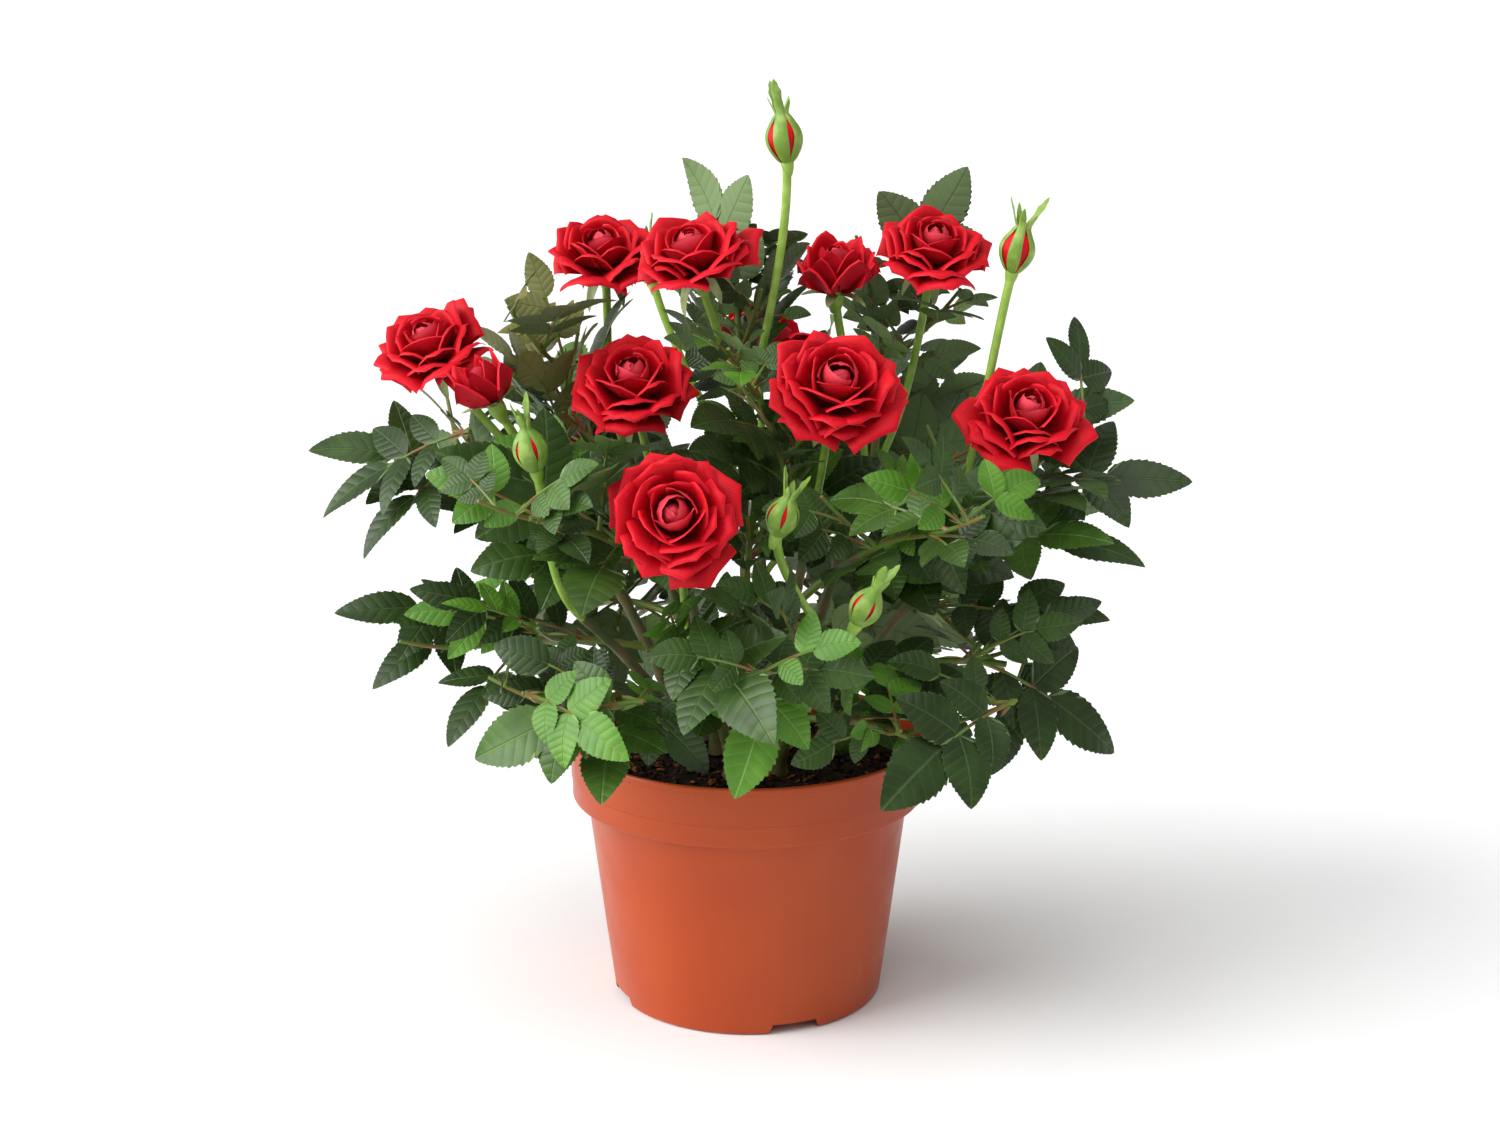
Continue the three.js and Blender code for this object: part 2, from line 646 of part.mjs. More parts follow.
// A leaf is kept where its stalk, its last leaflet and enough of the others may lie. The stalk keeps clear
// of every limb but the one that it grows on.
function keepLeaf(leaf, fewest, rules, own, grownOn, reaching) {
  const stalk = leaf.line.getPoints(8).slice(1, 5);
  const withOwn = (tracks) => ({ ...rules, limbs: [...rules.limbs, ...tracks] });
  if (!mayLie(stalk.slice(1), withOwn(own.filter((track) => track !== grownOn)), reaching)) return null;
  const forBlades = withOwn(own);
  const fits = (blade) => mayLie(leafletPoints(blade), forBlades, reaching);
  const leaflets = leaf.leaflets.map((blade) => (fits(blade) ? blade : null));
  const kept = leaflets.filter((blade) => blade);
  if (kept.length < fewest || !leaflets[leaflets.length - 1]) return null;
  kept.forEach((blade) => rules.taken.push(...leafletPoints(blade)));
  rules.taken.push(...stalk);
  return { ...leaf, leaflets };
}

// The seeded rule: first the leaves that reach a named tip, then leaves along the stem and its twigs,
// each aimed out and up, and kept only where it may lie.
function growLeaves(name, mass, lines, random, rules) {
  const leaves = [];
  const own = lines.map((line) => limbTrack(line, TWIG.footRadius, 4));
  const grow = (place, tip, lean, fewest, reaching) => {
    const leaf = compoundLeaf(place.root, tip, leafFace(place.root, tip, lean));
    return keepLeaf(leaf, fewest, rules, own, place.grownOn, reaching);
  };
  const scattered = (size) => new THREE.Vector3(random() - 0.5, random() - 0.5, random() - 0.5)
    .multiplyScalar(size);
  for (const target of mass.reach) {
    const tip = vector(target);
    const lean = scattered(0.5);
    const misfit = ({ root }) => Math.abs(root.distanceTo(tip) - LEAF.length);
    const places = lines.flatMap((line, i) => [0.97, 0.85, 0.7, 0.55, 0.4]
      .map((share) => ({ root: line.getPoint(share), grownOn: own[i] })))
      .filter((place) => inCell(place.root, rules.cell) && misfit(place) < 0.45 * LEAF.length)
      .sort((a, b) => misfit(a) - misfit(b));
    let leaf = null;
    for (const fewest of [4, 2, 1]) {
      for (const place of places) leaf ??= grow(place, tip, lean, fewest, true);
    }
    if (leaf) leaves.push(leaf);
    else console.warn(`${name}: no room for the leaf that reaches ${target}`);
  }
  for (let tries = 0, added = 0; added < mass.leaves && tries < TRIES; tries++) {
    const index = Math.floor(random() * lines.length);
    const share = 0.25 + 0.72 * random();
    const turn = 2 * Math.PI * random();
    const size = LEAF.length * (1.1 - 0.5 * (tries / TRIES) * random() - 0.2 * random());
    const rise = 0.95 * random() - 0.5;
    const lean = scattered(0.9);
    const root = lines[index].getPoint(share);
    const out = root.clone().sub(crownRoot).normalize();
    const way = new THREE.Vector3(Math.cos(turn), Math.sin(turn), rise)
      .addScaledVector(lines[index].getTangent(share), 0.4)
      .addScaledVector(out, 0.3)
      .normalize();
    const tip = root.clone().addScaledVector(way, size);
    const fewest = tries < TRIES / 2 ? 5 : 3;
    if (!inCell(root, rules.cell)) continue;
    const leaf = grow({ root, grownOn: own[index] }, tip, lean, fewest, false);
    if (leaf) {
      leaves.push(leaf);
      added++;
    }
  }
  return leaves;
}

// A mass: its stem, twigs and leaves, fused, and cut clear of the cane.
function makeMass(mass, stem, twigs, leaves, canes) {
  const limbs = [solid(limbGeometry(stem, STEM)), ...twigs.map((twig) => solid(limbGeometry(twig, TWIG)))];
  const pieces = [...limbs, ...leaves.map(leafSolid)];
  return largestBody(joined(pieces).subtract(canes[mass.cane].swollen).simplify(0.02));
}

// ---- the whole plant ----------------------------------------------------------------------------

const finishes = {
  pot: new THREE.MeshStandardMaterial({ color: 0xc0623f, roughness: 0.45, metalness: 0 }),
  soil: new THREE.MeshStandardMaterial({ color: 0x2b2018, roughness: 0.95, metalness: 0 }),
  cane: new THREE.MeshStandardMaterial({ color: 0x3f5a2a, roughness: 0.6, metalness: 0 }),
  petal: new THREE.MeshStandardMaterial({ color: 0xc8101c, roughness: 0.55, metalness: 0 }),
  bud: new THREE.MeshStandardMaterial({ color: 0x8fae4a, roughness: 0.55, metalness: 0 }),
  leaf: new THREE.MeshStandardMaterial({ color: 0x3c5a2c, roughness: 0.45, metalness: 0 }),
};

function makeRoseBush() {
  const bush = new THREE.Group();
  bush.name = 'rose_bush';
  const place = (name, manifold, finish) => {
    const mesh = new THREE.Mesh(geometryOf(manifold), finish);
    mesh.name = name;
    bush.add(mesh);
  };

  place('pot', makePot(), finishes.pot);
  place('soil', makeSoil(), finishes.soil);

  const canes = {};
  for (const [name, cane] of Object.entries(CANES)) {
    const line = caneLine(cane);
    const swollen = solid(limbGeometry(line, CANE, CLEARANCE * 1.2));
    canes[name] = { line, swollen };
    place(`cane_${name}`, solid(limbGeometry(line, CANE)), finishes.cane);
  }

  const limbs = Object.fromEntries(Object.entries(canes)
    .map(([name, { line }]) => [`cane_${name}`, limbTrack(line, CANE.footRadius)]));
  const zones = [];
  for (const [name, flower] of Object.entries(FLOWERS)) {
    const line = stalkLine(flower, canes);
    const isBud = flower.width < 15;
    limbs[name] = limbTrack(line, STALK.tipRadius);
    zones.push({
      at: vector(flower.at).addScaledVector(vector(flower.face).normalize(), isBud ? flower.width : 2),
      face: vector(flower.face).normalize(),
      radius: isBud ? flower.width : flower.width / 2 + 2.5,
      deep: isBud ? flower.width * 1.2 : 7,
      ahead: isBud ? flower.width * 1.6 : 34,
    });
    place(name, makeFlower(flower, line, canes), isBud ? finishes.bud : finishes.petal);
  }

  const masses = Object.entries(FOLIAGE).map(([name, mass]) => {
    const stem = stemLine(mass, canes);
    limbs[`foliage_${name}`] = limbTrack(stem, STEM.footRadius);
    return { name, mass, stem, random: seeded(seedOf(name)), taken: [] };
  });
  const rulesFor = ({ name, mass, taken }) => ({
    cell: cellMiddles[Object.keys(FOLIAGE).indexOf(name)],
    limbs: Object.entries(limbs)
      .filter(([limb]) => !limb.startsWith(`foliage_${name}`))
      .map(([, track]) => track),
    zones,
    taken,
  });
  for (const growing of masses) {
    growing.twigs = growTwigs(growing.stem, growing.random, rulesFor(growing));
    growing.twigs.forEach((twig, i) => {
      limbs[`foliage_${growing.name}_${i}`] = limbTrack(twig, TWIG.footRadius);
    });
  }
  for (const growing of masses) {
    const { name, mass, stem, twigs, random } = growing;
    const leaves = growLeaves(name, mass, [stem, ...twigs], random, rulesFor(growing));
    place(`foliage_${name}`, makeMass(mass, stem, twigs, leaves, canes), finishes.leaf);
  }
  return bush;
}

export default makeRoseBush();
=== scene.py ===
"""A pot rose in a round plastic nursery pot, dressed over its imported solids.

Sizes are in millimetres until a piece is placed, and MM turns them into metres. The bush grows here by
the same rule as the solids: canes, flowers on their stalks, then leaves along each mass's stem and twigs.
"""

import math

import bpy
import numpy as np
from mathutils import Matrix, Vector, noise


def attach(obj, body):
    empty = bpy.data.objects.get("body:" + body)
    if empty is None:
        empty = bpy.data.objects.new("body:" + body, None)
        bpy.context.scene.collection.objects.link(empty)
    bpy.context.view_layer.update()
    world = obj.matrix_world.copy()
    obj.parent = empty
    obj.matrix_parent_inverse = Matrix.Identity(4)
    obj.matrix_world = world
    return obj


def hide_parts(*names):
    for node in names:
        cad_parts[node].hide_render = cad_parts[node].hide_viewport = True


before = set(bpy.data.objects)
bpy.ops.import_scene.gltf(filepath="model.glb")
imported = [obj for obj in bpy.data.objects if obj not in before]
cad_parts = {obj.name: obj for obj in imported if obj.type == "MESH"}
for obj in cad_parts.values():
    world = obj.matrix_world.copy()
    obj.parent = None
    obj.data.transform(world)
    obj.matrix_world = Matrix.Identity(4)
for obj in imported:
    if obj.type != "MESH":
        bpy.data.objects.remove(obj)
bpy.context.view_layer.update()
bpy.ops.object.select_all(action="DESELECT")

MM = 0.001
BODY = "root"
DEGREE = math.pi / 180
UP = np.array([0.0, 0.0, 1.0])

# ---- sizes that the solids share ----------------------------------------------------------------

CLEARANCE = 0.3

POT = dict(
    height=90, rim_radius=60, band_radius=59.2, step_drop=20.6, wall_top_radius=54.3,
    foot_radius=45.6, wall=1.6, ring_height=3.4, ring_width=2.6, notches=4, first_notch=20 * DEGREE,
    notch_width=18,
)
SOIL = dict(top=82, edge_dip=1.5)

CANE = dict(foot=2.1, tip=1.5, flare=1.7)
STALK = dict(foot=1.2, tip=1.5)
STEM = dict(foot=1.4, tip=1.1)
TWIG = dict(foot=0.9, length=34)

LEAF = dict(
    length=62, pairs=[(0.22, 0.31), (0.43, 0.39)], last_at=0.53, pair_angle=62 * DEGREE, arch=0.07,
    pair_width=0.6, last_width=0.58, widest=0.4, fold=0.16,
)
CROWN = dict(middle=158, half_width=126, half_depth=110, above=106, below=78)

LEAF_GAP = 2.6  # between leaflets
LIMB_GAP = 2.2  # between a leaflet and another limb
CELL_GAP = 0.4  # on each side of the middle between two masses
RIM_GAP = 2  # over the pot's rim and over the soil
WALL_GAP = 5  # inside the pot's rim
TRIES = 900  # leaves tried in each mass
BUD_WIDTH = 15  # a narrower flower is a bud
TURN = 137.5  # degrees from one petal or twig to the next

# Canes: where each stands on the soil and where it forks.
CANES = {
    "left": ((-20, -2), (-60, -6, 168)),
    "left_front": ((-17, -14), (-52, -40, 140)),
    "front": ((-5, -22), (-16, -50, 132)),
    "front_right": ((10, -20), (24, -50, 128)),
    "mid_left": ((-10, 2), (-27, -8, 168)),
    "centre": ((0, 10), (-2, 8, 190)),
    "back_left": ((-15, 16), (-42, 36, 180)),
    "centre_right": ((9, -4), (20, -16, 162)),
    "right": ((22, -4), (66, -10, 150)),
    "back_right": ((15, 12), (46, 22, 182)),
    "back": ((2, 24), (6, 62, 150)),
}

# Flowers: the cane, the share of its length they leave it at, the hip, the way they face, the width.
FLOWERS = {
    "bloom_front": ("front", 1, (-21, -76, 180), (-0.05, -0.9, 0.42), 42),
    "bloom_front_right": ("centre_right", 1, (27, -38, 211), (0.1, -0.72, 0.68), 43),
    "bloom_right": ("right", 1, (88, -20, 197), (0.12, -0.6, 0.79), 42),
    "bloom_mid_left": ("mid_left", 1, (-36, -16, 207), (-0.05, -0.52, 0.85), 41),
    "bloom_left": ("left", 1, (-101, 0, 217), (-0.3, -0.46, 0.84), 38),
    "bloom_top": ("centre", 1, (-16, -2, 246), (-0.22, -0.36, 0.91), 40),
    "bloom_top_left": ("back_left", 1, (-48, 32, 243), (-0.05, -0.42, 0.9), 38),
    "bloom_top_right": ("back_right", 1, (61, 18, 246), (0.08, -0.46, 0.88), 39),
    "bloom_back": ("back", 1, (4, 88, 204), (0.05, 0.68, 0.73), 41),
    "bloom_back_left": ("back_left", 0.55, (-52, 84, 168), (-0.35, 0.72, 0.6), 40),
    "bloom_back_right": ("back", 0.68, (47, 88, 162), (0.3, 0.76, 0.58), 41),
    "half_top": ("back_right", 0.84, (29, 16, 237), (0.0, -0.25, 0.97), 28),
    "half_left": ("left", 0.84, (-80, -26, 207), (-0.42, -0.2, 0.88), 19),
    "bud_top": ("centre", 0.86, (12.5, -8, 282), (-0.12, 0.0, 0.99), 12.5),
    "bud_right": ("right", 0.84, (85, -6, 247), (0.2, -0.05, 0.98), 12),
    "bud_left": ("left_front", 1, (-64.5, -60, 193), (-0.22, -0.1, 0.97), 11),
    "bud_centre": ("front_right", 1, (9, -74, 176), (0.3, -0.1, 0.95), 10),
    "bud_low": ("front_right", 0.8, (33, -84, 151), (0.45, -0.1, 0.88), 10),
    "bud_back": ("back", 0.8, (-34, 84, 232), (-0.2, 0.15, 0.97), 11.5),
}

# How far a bud's sepals have parted.
PARTED = {"bud_top": 0.7, "bud_right": 1.0, "bud_back": 0.5}
CLOSED = 0.1  # the other buds

# Foliage: the cane, where the stem leaves it, the stem's tip, the middle of the mass's cell, how many
# leaves the rule adds, and the tips of reaching leaves.
FOLIAGE = {
    "left_low": ("left", 0.42, (-88, -8, 122), (-92, -6, 116), 6,
                 [(-137, -6, 133), (-124, -14, 109), (-96, -42, 98)]),
    "left_high": ("left", 0.72, (-98, 2, 186), (-104, 0, 184), 6,
                  [(-144, -2, 187), (-138, -14, 167), (-122, -34, 158), (-112, 10, 208)]),
    "front_low_left": ("left_front", 0.5, (-52, -70, 116), (-52, -70, 110), 6,
                       [(-84, -72, 104), (-35, -98, 112), (-44, -92, 96)]),
    "front_middle": ("front", 0.6, (2, -84, 134), (2, -84, 130), 7, [(8, -114, 122), (-4, -92, 98)]),
    "front_high_left": ("mid_left", 0.62, (-56, -62, 176), (-54, -60, 172), 7, [(-48, -104, 158)]),
    "front_low_right": ("front_right", 0.45, (50, -68, 110), (50, -70, 106), 6,
                        [(40, -94, 95), (70, -72, 100)]),
    "front_high_right": ("centre_right", 0.66, (50, -60, 172), (44, -60, 168), 8, [(34, -110, 162)]),
    "right_low": ("right", 0.42, (86, -8, 116), (92, -8, 112), 7,
                  [(120, -8, 131), (122, -14, 87), (80, -20, 81)]),
    "right_high": ("right", 0.72, (98, 4, 184), (102, 0, 180), 7,
                   [(146, -4, 177), (129, -20, 152), (127, 2, 203), (108, 14, 229)]),
    "back_low_left": ("back_left", 0.4, (-56, 70, 116), (-50, 76, 112), 7,
                      [(-86, 76, 100), (-30, 112, 118)]),
    "back_low_right": ("back", 0.45, (46, 70, 114), (48, 76, 110), 7, [(84, 74, 98), (30, 112, 104)]),
    "back_high_left": ("back_left", 0.7, (-62, 70, 182), (-58, 70, 182), 8,
                       [(-96, 84, 170), (-68, 98, 206)]),
    "back_high_right": ("back", 0.86, (62, 64, 182), (58, 68, 182), 7, [(102, 72, 176), (26, 116, 168)]),
    "top_left": ("left", 0.93, (-60, 12, 214), (-62, 12, 226), 7, [(-72, 16, 250)]),
    "top_middle": ("centre", 0.92, (-4, 36, 240), (-2, 36, 238), 7, [(-22, 40, 279)]),
    "top_right": ("back_right", 0.9, (46, 44, 236), (54, 34, 240), 7, [(74, 40, 276)]),
    "upper_front": ("centre_right", 0.93, (2, -26, 212), (2, -26, 212), 8, []),
    "heart": ("centre", 0.5, (2, -16, 168), (0, 6, 154), 7, []),
}

# ---- small tools --------------------------------------------------------------------------------


def unit(v):
    return v / np.linalg.norm(v)


def lerp(a, b, t):
    return a + (b - a) * t


def smoothstep(x, low, high):
    t = min(1.0, max(0.0, (x - low) / (high - low)))
    return t * t * (3 - 2 * t)


def bell(x, middle, spread):
    return math.exp(-(((x - middle) / spread) ** 2))


def swung(x, y, angle):
    """A point turned about the upright axis."""
    return x * math.cos(angle) - y * math.sin(angle), x * math.sin(angle) + y * math.cos(angle)


def spin_matrix(angle):
    cos, sin = math.cos(angle), math.sin(angle)
    return np.array([[cos, -sin, 0], [sin, cos, 0], [0, 0, 1]])


def seeded(seed):
    """Repeatable numbers from 0 to 1, the same as the solids use."""
    word = 0xFFFFFFFF
    state = seed & word

    def draw():
        nonlocal state
        state = (state + 0x6D2B79F5) & word
        mixed = ((state ^ (state >> 15)) * (state | 1)) & word
        mixed ^= (mixed + ((mixed ^ (mixed >> 7)) * (mixed | 61))) & word
        return ((mixed ^ (mixed >> 14)) & word) / 4294967296

    return draw


def seed_of(name):
    total = 7
    for letter in name:
        total = (total * 31 + ord(letter)) % 1000003
    return total


class Bow:
    """A curve through its first and last point, drawn towards those between."""

    def __init__(self, *points):
        self.points = [np.array(p, float) for p in points]

    def at(self, t):
        points = self.points
        while len(points) > 1:
            points = [lerp(a, b, t) for a, b in zip(points, points[1:])]
        return points[0]

    def tangent(self, t):
        return unit(self.at(min(1, t + 1e-4)) - self.at(max(0, t - 1e-4)))

    def spread(self, parts):
        return np.array([self.at(i / parts) for i in range(parts + 1)])


# ---- limbs and flowers, as lines ----------------------------------------------------------------


def soil_rise(radius):
    return 0 if radius < 30 else -SOIL["edge_dip"] * min(1, (radius - 30) / 20)


def cane_line(foot, tip):
    root = np.array([*foot, SOIL["top"] + CLEARANCE + soil_rise(math.hypot(*foot))])
    end = np.array(tip, float)
    return Bow(root, [lerp(root[i], end[i], part) for i, part in enumerate((0.3, 0.3, 0.55))], end)


def stalk_line(cane, share, hip, face):
    hip = np.array(hip, float)
    root, along = cane.at(share), cane.tangent(share)
    reach = np.linalg.norm(root - hip)
    leaving = along
    if share == 1:
        root = root + along * CLEARANCE
    else:
        leaving = unit(along + unit(hip - root))
    arriving = lerp(unit(np.array(face, float)), unit(hip - root), 0.35)
    return Bow(root, root + leaving * 0.33 * reach, hip - arriving * 0.33 * reach, hip)


def stem_line(cane, share, tip):
    root = cane.at(share)
    tip = np.array(tip, float)
    return Bow(root, lerp(root, tip, 0.5) + cane.tangent(share) * 0.12 * np.linalg.norm(tip - root), tip)


# ---- leaves, as lines and blades ----------------------------------------------------------------


def blade_samples():
    """Where a blade is tested, as shares along it and across it."""
    places = []
    for u in (0.04, 0.2, 0.4, 0.6, 0.8, 1):
        reach = u / LEAF["widest"] if u < LEAF["widest"] else (1 - u) / (1 - LEAF["widest"])
        places += [(u, v * reach) for v in ((-1, -0.5, 0, 0.5, 1) if reach > 0.3 else (0,))]
    return np.array(places).T


BLADE_SAMPLES = blade_samples()


class Blade:
    """One leaflet's place: along it, across it, and the way that its face looks."""

    def __init__(self, base, tip, face, width):
        self.base, self.tip, self.width = base, tip, width
        self.length = np.linalg.norm(tip - base)
        self.along = (tip - base) / self.length
        self.normal = unit(face - self.along * face.dot(self.along))
        self.side = np.cross(self.normal, self.along)

    def samples(self):
        u, v = BLADE_SAMPLES
        half = self.width / 2
        return (self.base + np.outer(u * self.length, self.along) + np.outer(v * half, self.side)
                + np.outer(np.abs(v) * LEAF["fold"] * half, self.normal))


def compound_leaf(root, tip, face):
    length = np.linalg.norm(tip - root)
    line = Bow(root, lerp(root, tip, 0.5) + UP * 2 * LEAF["arch"] * length, tip)
    blades = []
    for at, size in LEAF["pairs"]:
        base, along = line.at(at), line.tangent(at)
        for hand in (1, -1):
            side = unit(np.cross(face, along)) * hand
            way = along * math.cos(LEAF["pair_angle"]) + side * math.sin(LEAF["pair_angle"])
            reach = size * length
            blades.append(Blade(base, base + way * reach, face, reach * LEAF["pair_width"]))
    base = line.at(LEAF["last_at"])
    blades.append(Blade(base, tip, face, np.linalg.norm(tip - base) * LEAF["last_width"]))
    return dict(line=line, face=face, blades=blades, length=length)


# ---- where a leaf may lie -----------------------------------------------------------------------

# How many small leaves fill each mass, between the leaves that the solids have. They are tried at one
# size and then at a smaller one, as (the share of a leaf's length, the fewest leaflets it may keep).
SMALL_LEAVES = ((0.66, 3), (0.46, 2))
FILL = {
    "left_low": 2, "left_high": 2, "front_low_left": 8, "front_middle": 13, "front_high_left": 14,
    "front_low_right": 9, "front_high_right": 14, "right_low": 3, "right_high": 4, "back_low_left": 10,
    "back_low_right": 10, "back_high_left": 12, "back_high_right": 11, "top_left": 10, "top_middle": 17,
    "top_right": 13, "upper_front": 21, "heart": 18,
}

CELL_MIDDLES = {name: np.array(mass[3], float) for name, mass in FOLIAGE.items()}
CROWN_ROOT = np.array([0, 0, CROWN["middle"] - 40.0])  # leaves look and lean away from here


class Track:
    """A limb that leaves keep away from: its stretches and its radius."""

    def __init__(self, line, radius, parts=8):
        points = line.spread(parts)
        self.starts, self.ways = points[:-1], points[1:] - points[:-1]
        self.radii = np.full(parts, float(radius))


# From here the front of the bush is seen, and the flowers on this side stay in plain sight.
VIEWER = np.array([0.8, -791.3, 340.7])


def lines_of_sight():
    """For each flower on the near side: its middle, the way to the viewer, and the width kept clear."""
    lines = []
    for name, (_, _, hip, face, width) in FLOWERS.items():
        if "back" not in name:
            ahead, clear = (1.1, 1.1) if width < BUD_WIDTH else (0.25, 0.48)  # as shares of its width
            middle = np.array(hip, float) + unit(np.array(face, float)) * width * ahead
            lines.append((middle, unit(VIEWER - middle), clear * width))
    return [np.array(values) for values in zip(*lines)]


SIGHT = lines_of_sight()


def hides_flower(p):
    """Which of the points lie between a flower and the viewer."""
    middle, way, radius = SIGHT
    away = p[:, None] - middle
    along = (away * way).sum(2)
    out = np.sqrt(np.maximum(0, (away * away).sum(2) - along * along))
    return ((along > 0) & (out < radius)).any(1)


class Rules:
    """What a mass's leaves keep clear of."""

    def __init__(self, name, tracks, zones):
        self.own = CELL_MIDDLES[name]
        self.others = np.array([m for n, m in CELL_MIDDLES.items() if n != name])
        self.apart = 2 * CELL_GAP * np.linalg.norm(self.others - self.own, axis=1)
        self.starts = np.concatenate([t.starts for t in tracks])
        self.ways = np.concatenate([t.ways for t in tracks])
        self.radii = np.concatenate([t.radii for t in tracks])
        self.zones = zones
        self.taken = np.zeros((0, 3))
        self.in_sight = False

    def in_cell(self, p):
        near = ((p - self.own) ** 2).sum(1)
        far = ((p[:, None] - self.others) ** 2).sum(2)
        return bool((far - near[:, None] > self.apart).all())

    def clear_of_limbs(self, p, extra):
        starts, ways, radii = self.starts, self.ways, self.radii
        if extra:
            starts = np.concatenate([starts, *[t.starts for t in extra]])
            ways = np.concatenate([ways, *[t.ways for t in extra]])
            radii = np.concatenate([radii, *[t.radii for t in extra]])
        reach = radii[:, None] + LIMB_GAP
        near = ((np.minimum(starts, starts + ways) - reach < p.max(0))
                & (np.maximum(starts, starts + ways) + reach > p.min(0))).all(1)
        starts, ways, radii = starts[near], ways[near], radii[near]
        away = p[:, None] - starts
        t = np.clip((away * ways).sum(2) / (ways * ways).sum(1), 0, 1)
        away -= t[..., None] * ways
        return ((away * away).sum(2) > (radii + LIMB_GAP) ** 2).all(1)

    def free(self, p, reaching, extra=()):
        """Which of the points may hold a leaf."""
        near = ((p - self.own) ** 2).sum(1)
        far = ((p[:, None] - self.others) ** 2).sum(2)
        up = p[:, 2] - CROWN["middle"]
        tall = np.where(up > 0, CROWN["above"], CROWN["below"])
        egg = ((p[:, 0] / CROWN["half_width"]) ** 2 + (p[:, 1] / CROWN["half_depth"]) ** 2
               + (up / tall) ** 2)
        r = np.hypot(p[:, 0], p[:, 1])
        over = (p[:, 2] > POT["height"] + RIM_GAP) | (r > POT["rim_radius"] + RIM_GAP)
        free = (far - near[:, None] > self.apart).all(1) & (reaching | (egg <= 1))
        free &= over | ((r < POT["rim_radius"] - WALL_GAP) & (p[:, 2] > SOIL["top"] + RIM_GAP))
        if not free.any():
            return free
        free &= ~self.in_flower(p) & self.clear_of_limbs(p, extra)
        if self.in_sight:
            free &= ~hides_flower(p)
        taken = self.taken
        taken = taken[((taken > p.min(0) - LEAF_GAP) & (taken < p.max(0) + LEAF_GAP)).all(1)]
        if len(taken) and free.any():
            free &= (((p[:, None] - taken) ** 2).sum(2) > LEAF_GAP ** 2).all(1)
        return free

    def in_flower(self, p):
        at, face, radius, deep, ahead = self.zones
        away = p[:, None] - at
        along = (away * face).sum(2)
        out = np.sqrt(np.maximum(0, (away * away).sum(2) - along * along))
        before = (along > 0) & (along < ahead)
        return np.where(before, out <= radius * (1 - 0.4 * along / ahead),
                        np.hypot(out / radius, along / deep) <= 1).any(1)

    def may_lie(self, p, reaching, extra=()):
        return bool(self.free(p, reaching, extra).all())


# ---- the growing rule ---------------------------------------------------------------------------


def leaf_face(root, tip, lean):
    along = unit(tip - root)
    face = UP * 0.6 + unit(tip - CROWN_ROOT) * 0.55 + lean
    face[1] += -0.75 if tip[1] < 10 else 0.75
    return unit(face - along * face.dot(along))


def grow_twigs(stem, random, rules):
    twigs = []
    first = 2 * math.pi * random()
    for i, share in enumerate((0.5, 0.72, 0.92)):
        turn = first + i * TURN * DEGREE
        size = TWIG["length"] * (0.8 + 0.4 * random())
        root = stem.at(share)
        way = unit(np.array([math.cos(turn), math.sin(turn), 0.35]) + stem.tangent(share) * 0.7)
        for part in (1, 0.8, 0.6):
            tip = root + way * size * part
            line = Bow(root, lerp(root, tip, 0.5) - UP * 0.08 * size, tip)
            if rules.may_lie(line.spread(6)[1:], False):
                twigs.append(line)
                break
    return twigs


def keep_leaf(leaf, fewest, rules, own, grown_on, reaching):
    if not rules.in_cell(leaf["line"].points[-1][None]):
        return None
    stalk = leaf["line"].spread(8)[1:5]
    if not rules.may_lie(stalk[1:], reaching, [t for t in own if t is not grown_on]):
        return None
    samples = [blade.samples() for blade in leaf["blades"]]
    fits = rules.free(np.concatenate(samples), reaching, own).reshape(len(samples), -1).all(1)
    if fits.sum() < fewest or not fits[-1]:
        return None
    rules.taken = np.concatenate([rules.taken, *[p for p, fit in zip(samples, fits) if fit], stalk])
    leaf["blades"] = [blade if fit else None for blade, fit in zip(leaf["blades"], fits)]
    return leaf


def grow_leaves(count, reach, lines, random, rules, size_share, fewest_late=3):
    """Leaves that reach a named tip, then leaves along the stem and twigs, kept where they may lie."""
    leaves = []
    own = [Track(line, TWIG["foot"], 4) for line in lines]

    def grow(root, grown_on, tip, lean, fewest, reaching):
        leaf = compound_leaf(root, tip, leaf_face(root, tip, lean))
        return keep_leaf(leaf, fewest, rules, own, grown_on, reaching)

    def scattered(size):
        return np.array([random() - 0.5, random() - 0.5, random() - 0.5]) * size

    for target in reach:
        tip = np.array(target, float)
        lean = scattered(0.5)
        places = [(line.at(share), own[i]) for i, line in enumerate(lines)
                  for share in (0.97, 0.85, 0.7, 0.55, 0.4)]
        misfit = lambda place: abs(np.linalg.norm(place[0] - tip) - LEAF["length"])
        places = [p for p in places if rules.in_cell(p[0][None]) and misfit(p) < 0.45 * LEAF["length"]]
        places.sort(key=misfit)
        found = None
        for fewest in (4, 2, 1):
            for root, grown_on in places:
                found = found or grow(root, grown_on, tip, lean, fewest, True)
        if found:
            leaves.append(found)
    added = 0
    for tries in range(TRIES):
        if added == count:
            break
        index = int(random() * len(lines))
        share = 0.25 + 0.72 * random()
        turn = 2 * math.pi * random()
        size = LEAF["length"] * size_share * (1.1 - 0.5 * (tries / TRIES) * random() - 0.2 * random())
        rise = 0.95 * random() - 0.5
        lean = scattered(0.9)
        root = lines[index].at(share)
        way = unit(np.array([math.cos(turn), math.sin(turn), rise])
                   + lines[index].tangent(share) * 0.4 + unit(root - CROWN_ROOT) * 0.3)
        if not rules.in_cell(root[None]):
            continue
        fewest = 5 if tries < TRIES / 2 else fewest_late
        leaf = grow(root, own[index], root + way * size, lean, fewest, False)
        if leaf:
            leaves.append(leaf)
            added += 1
    return leaves


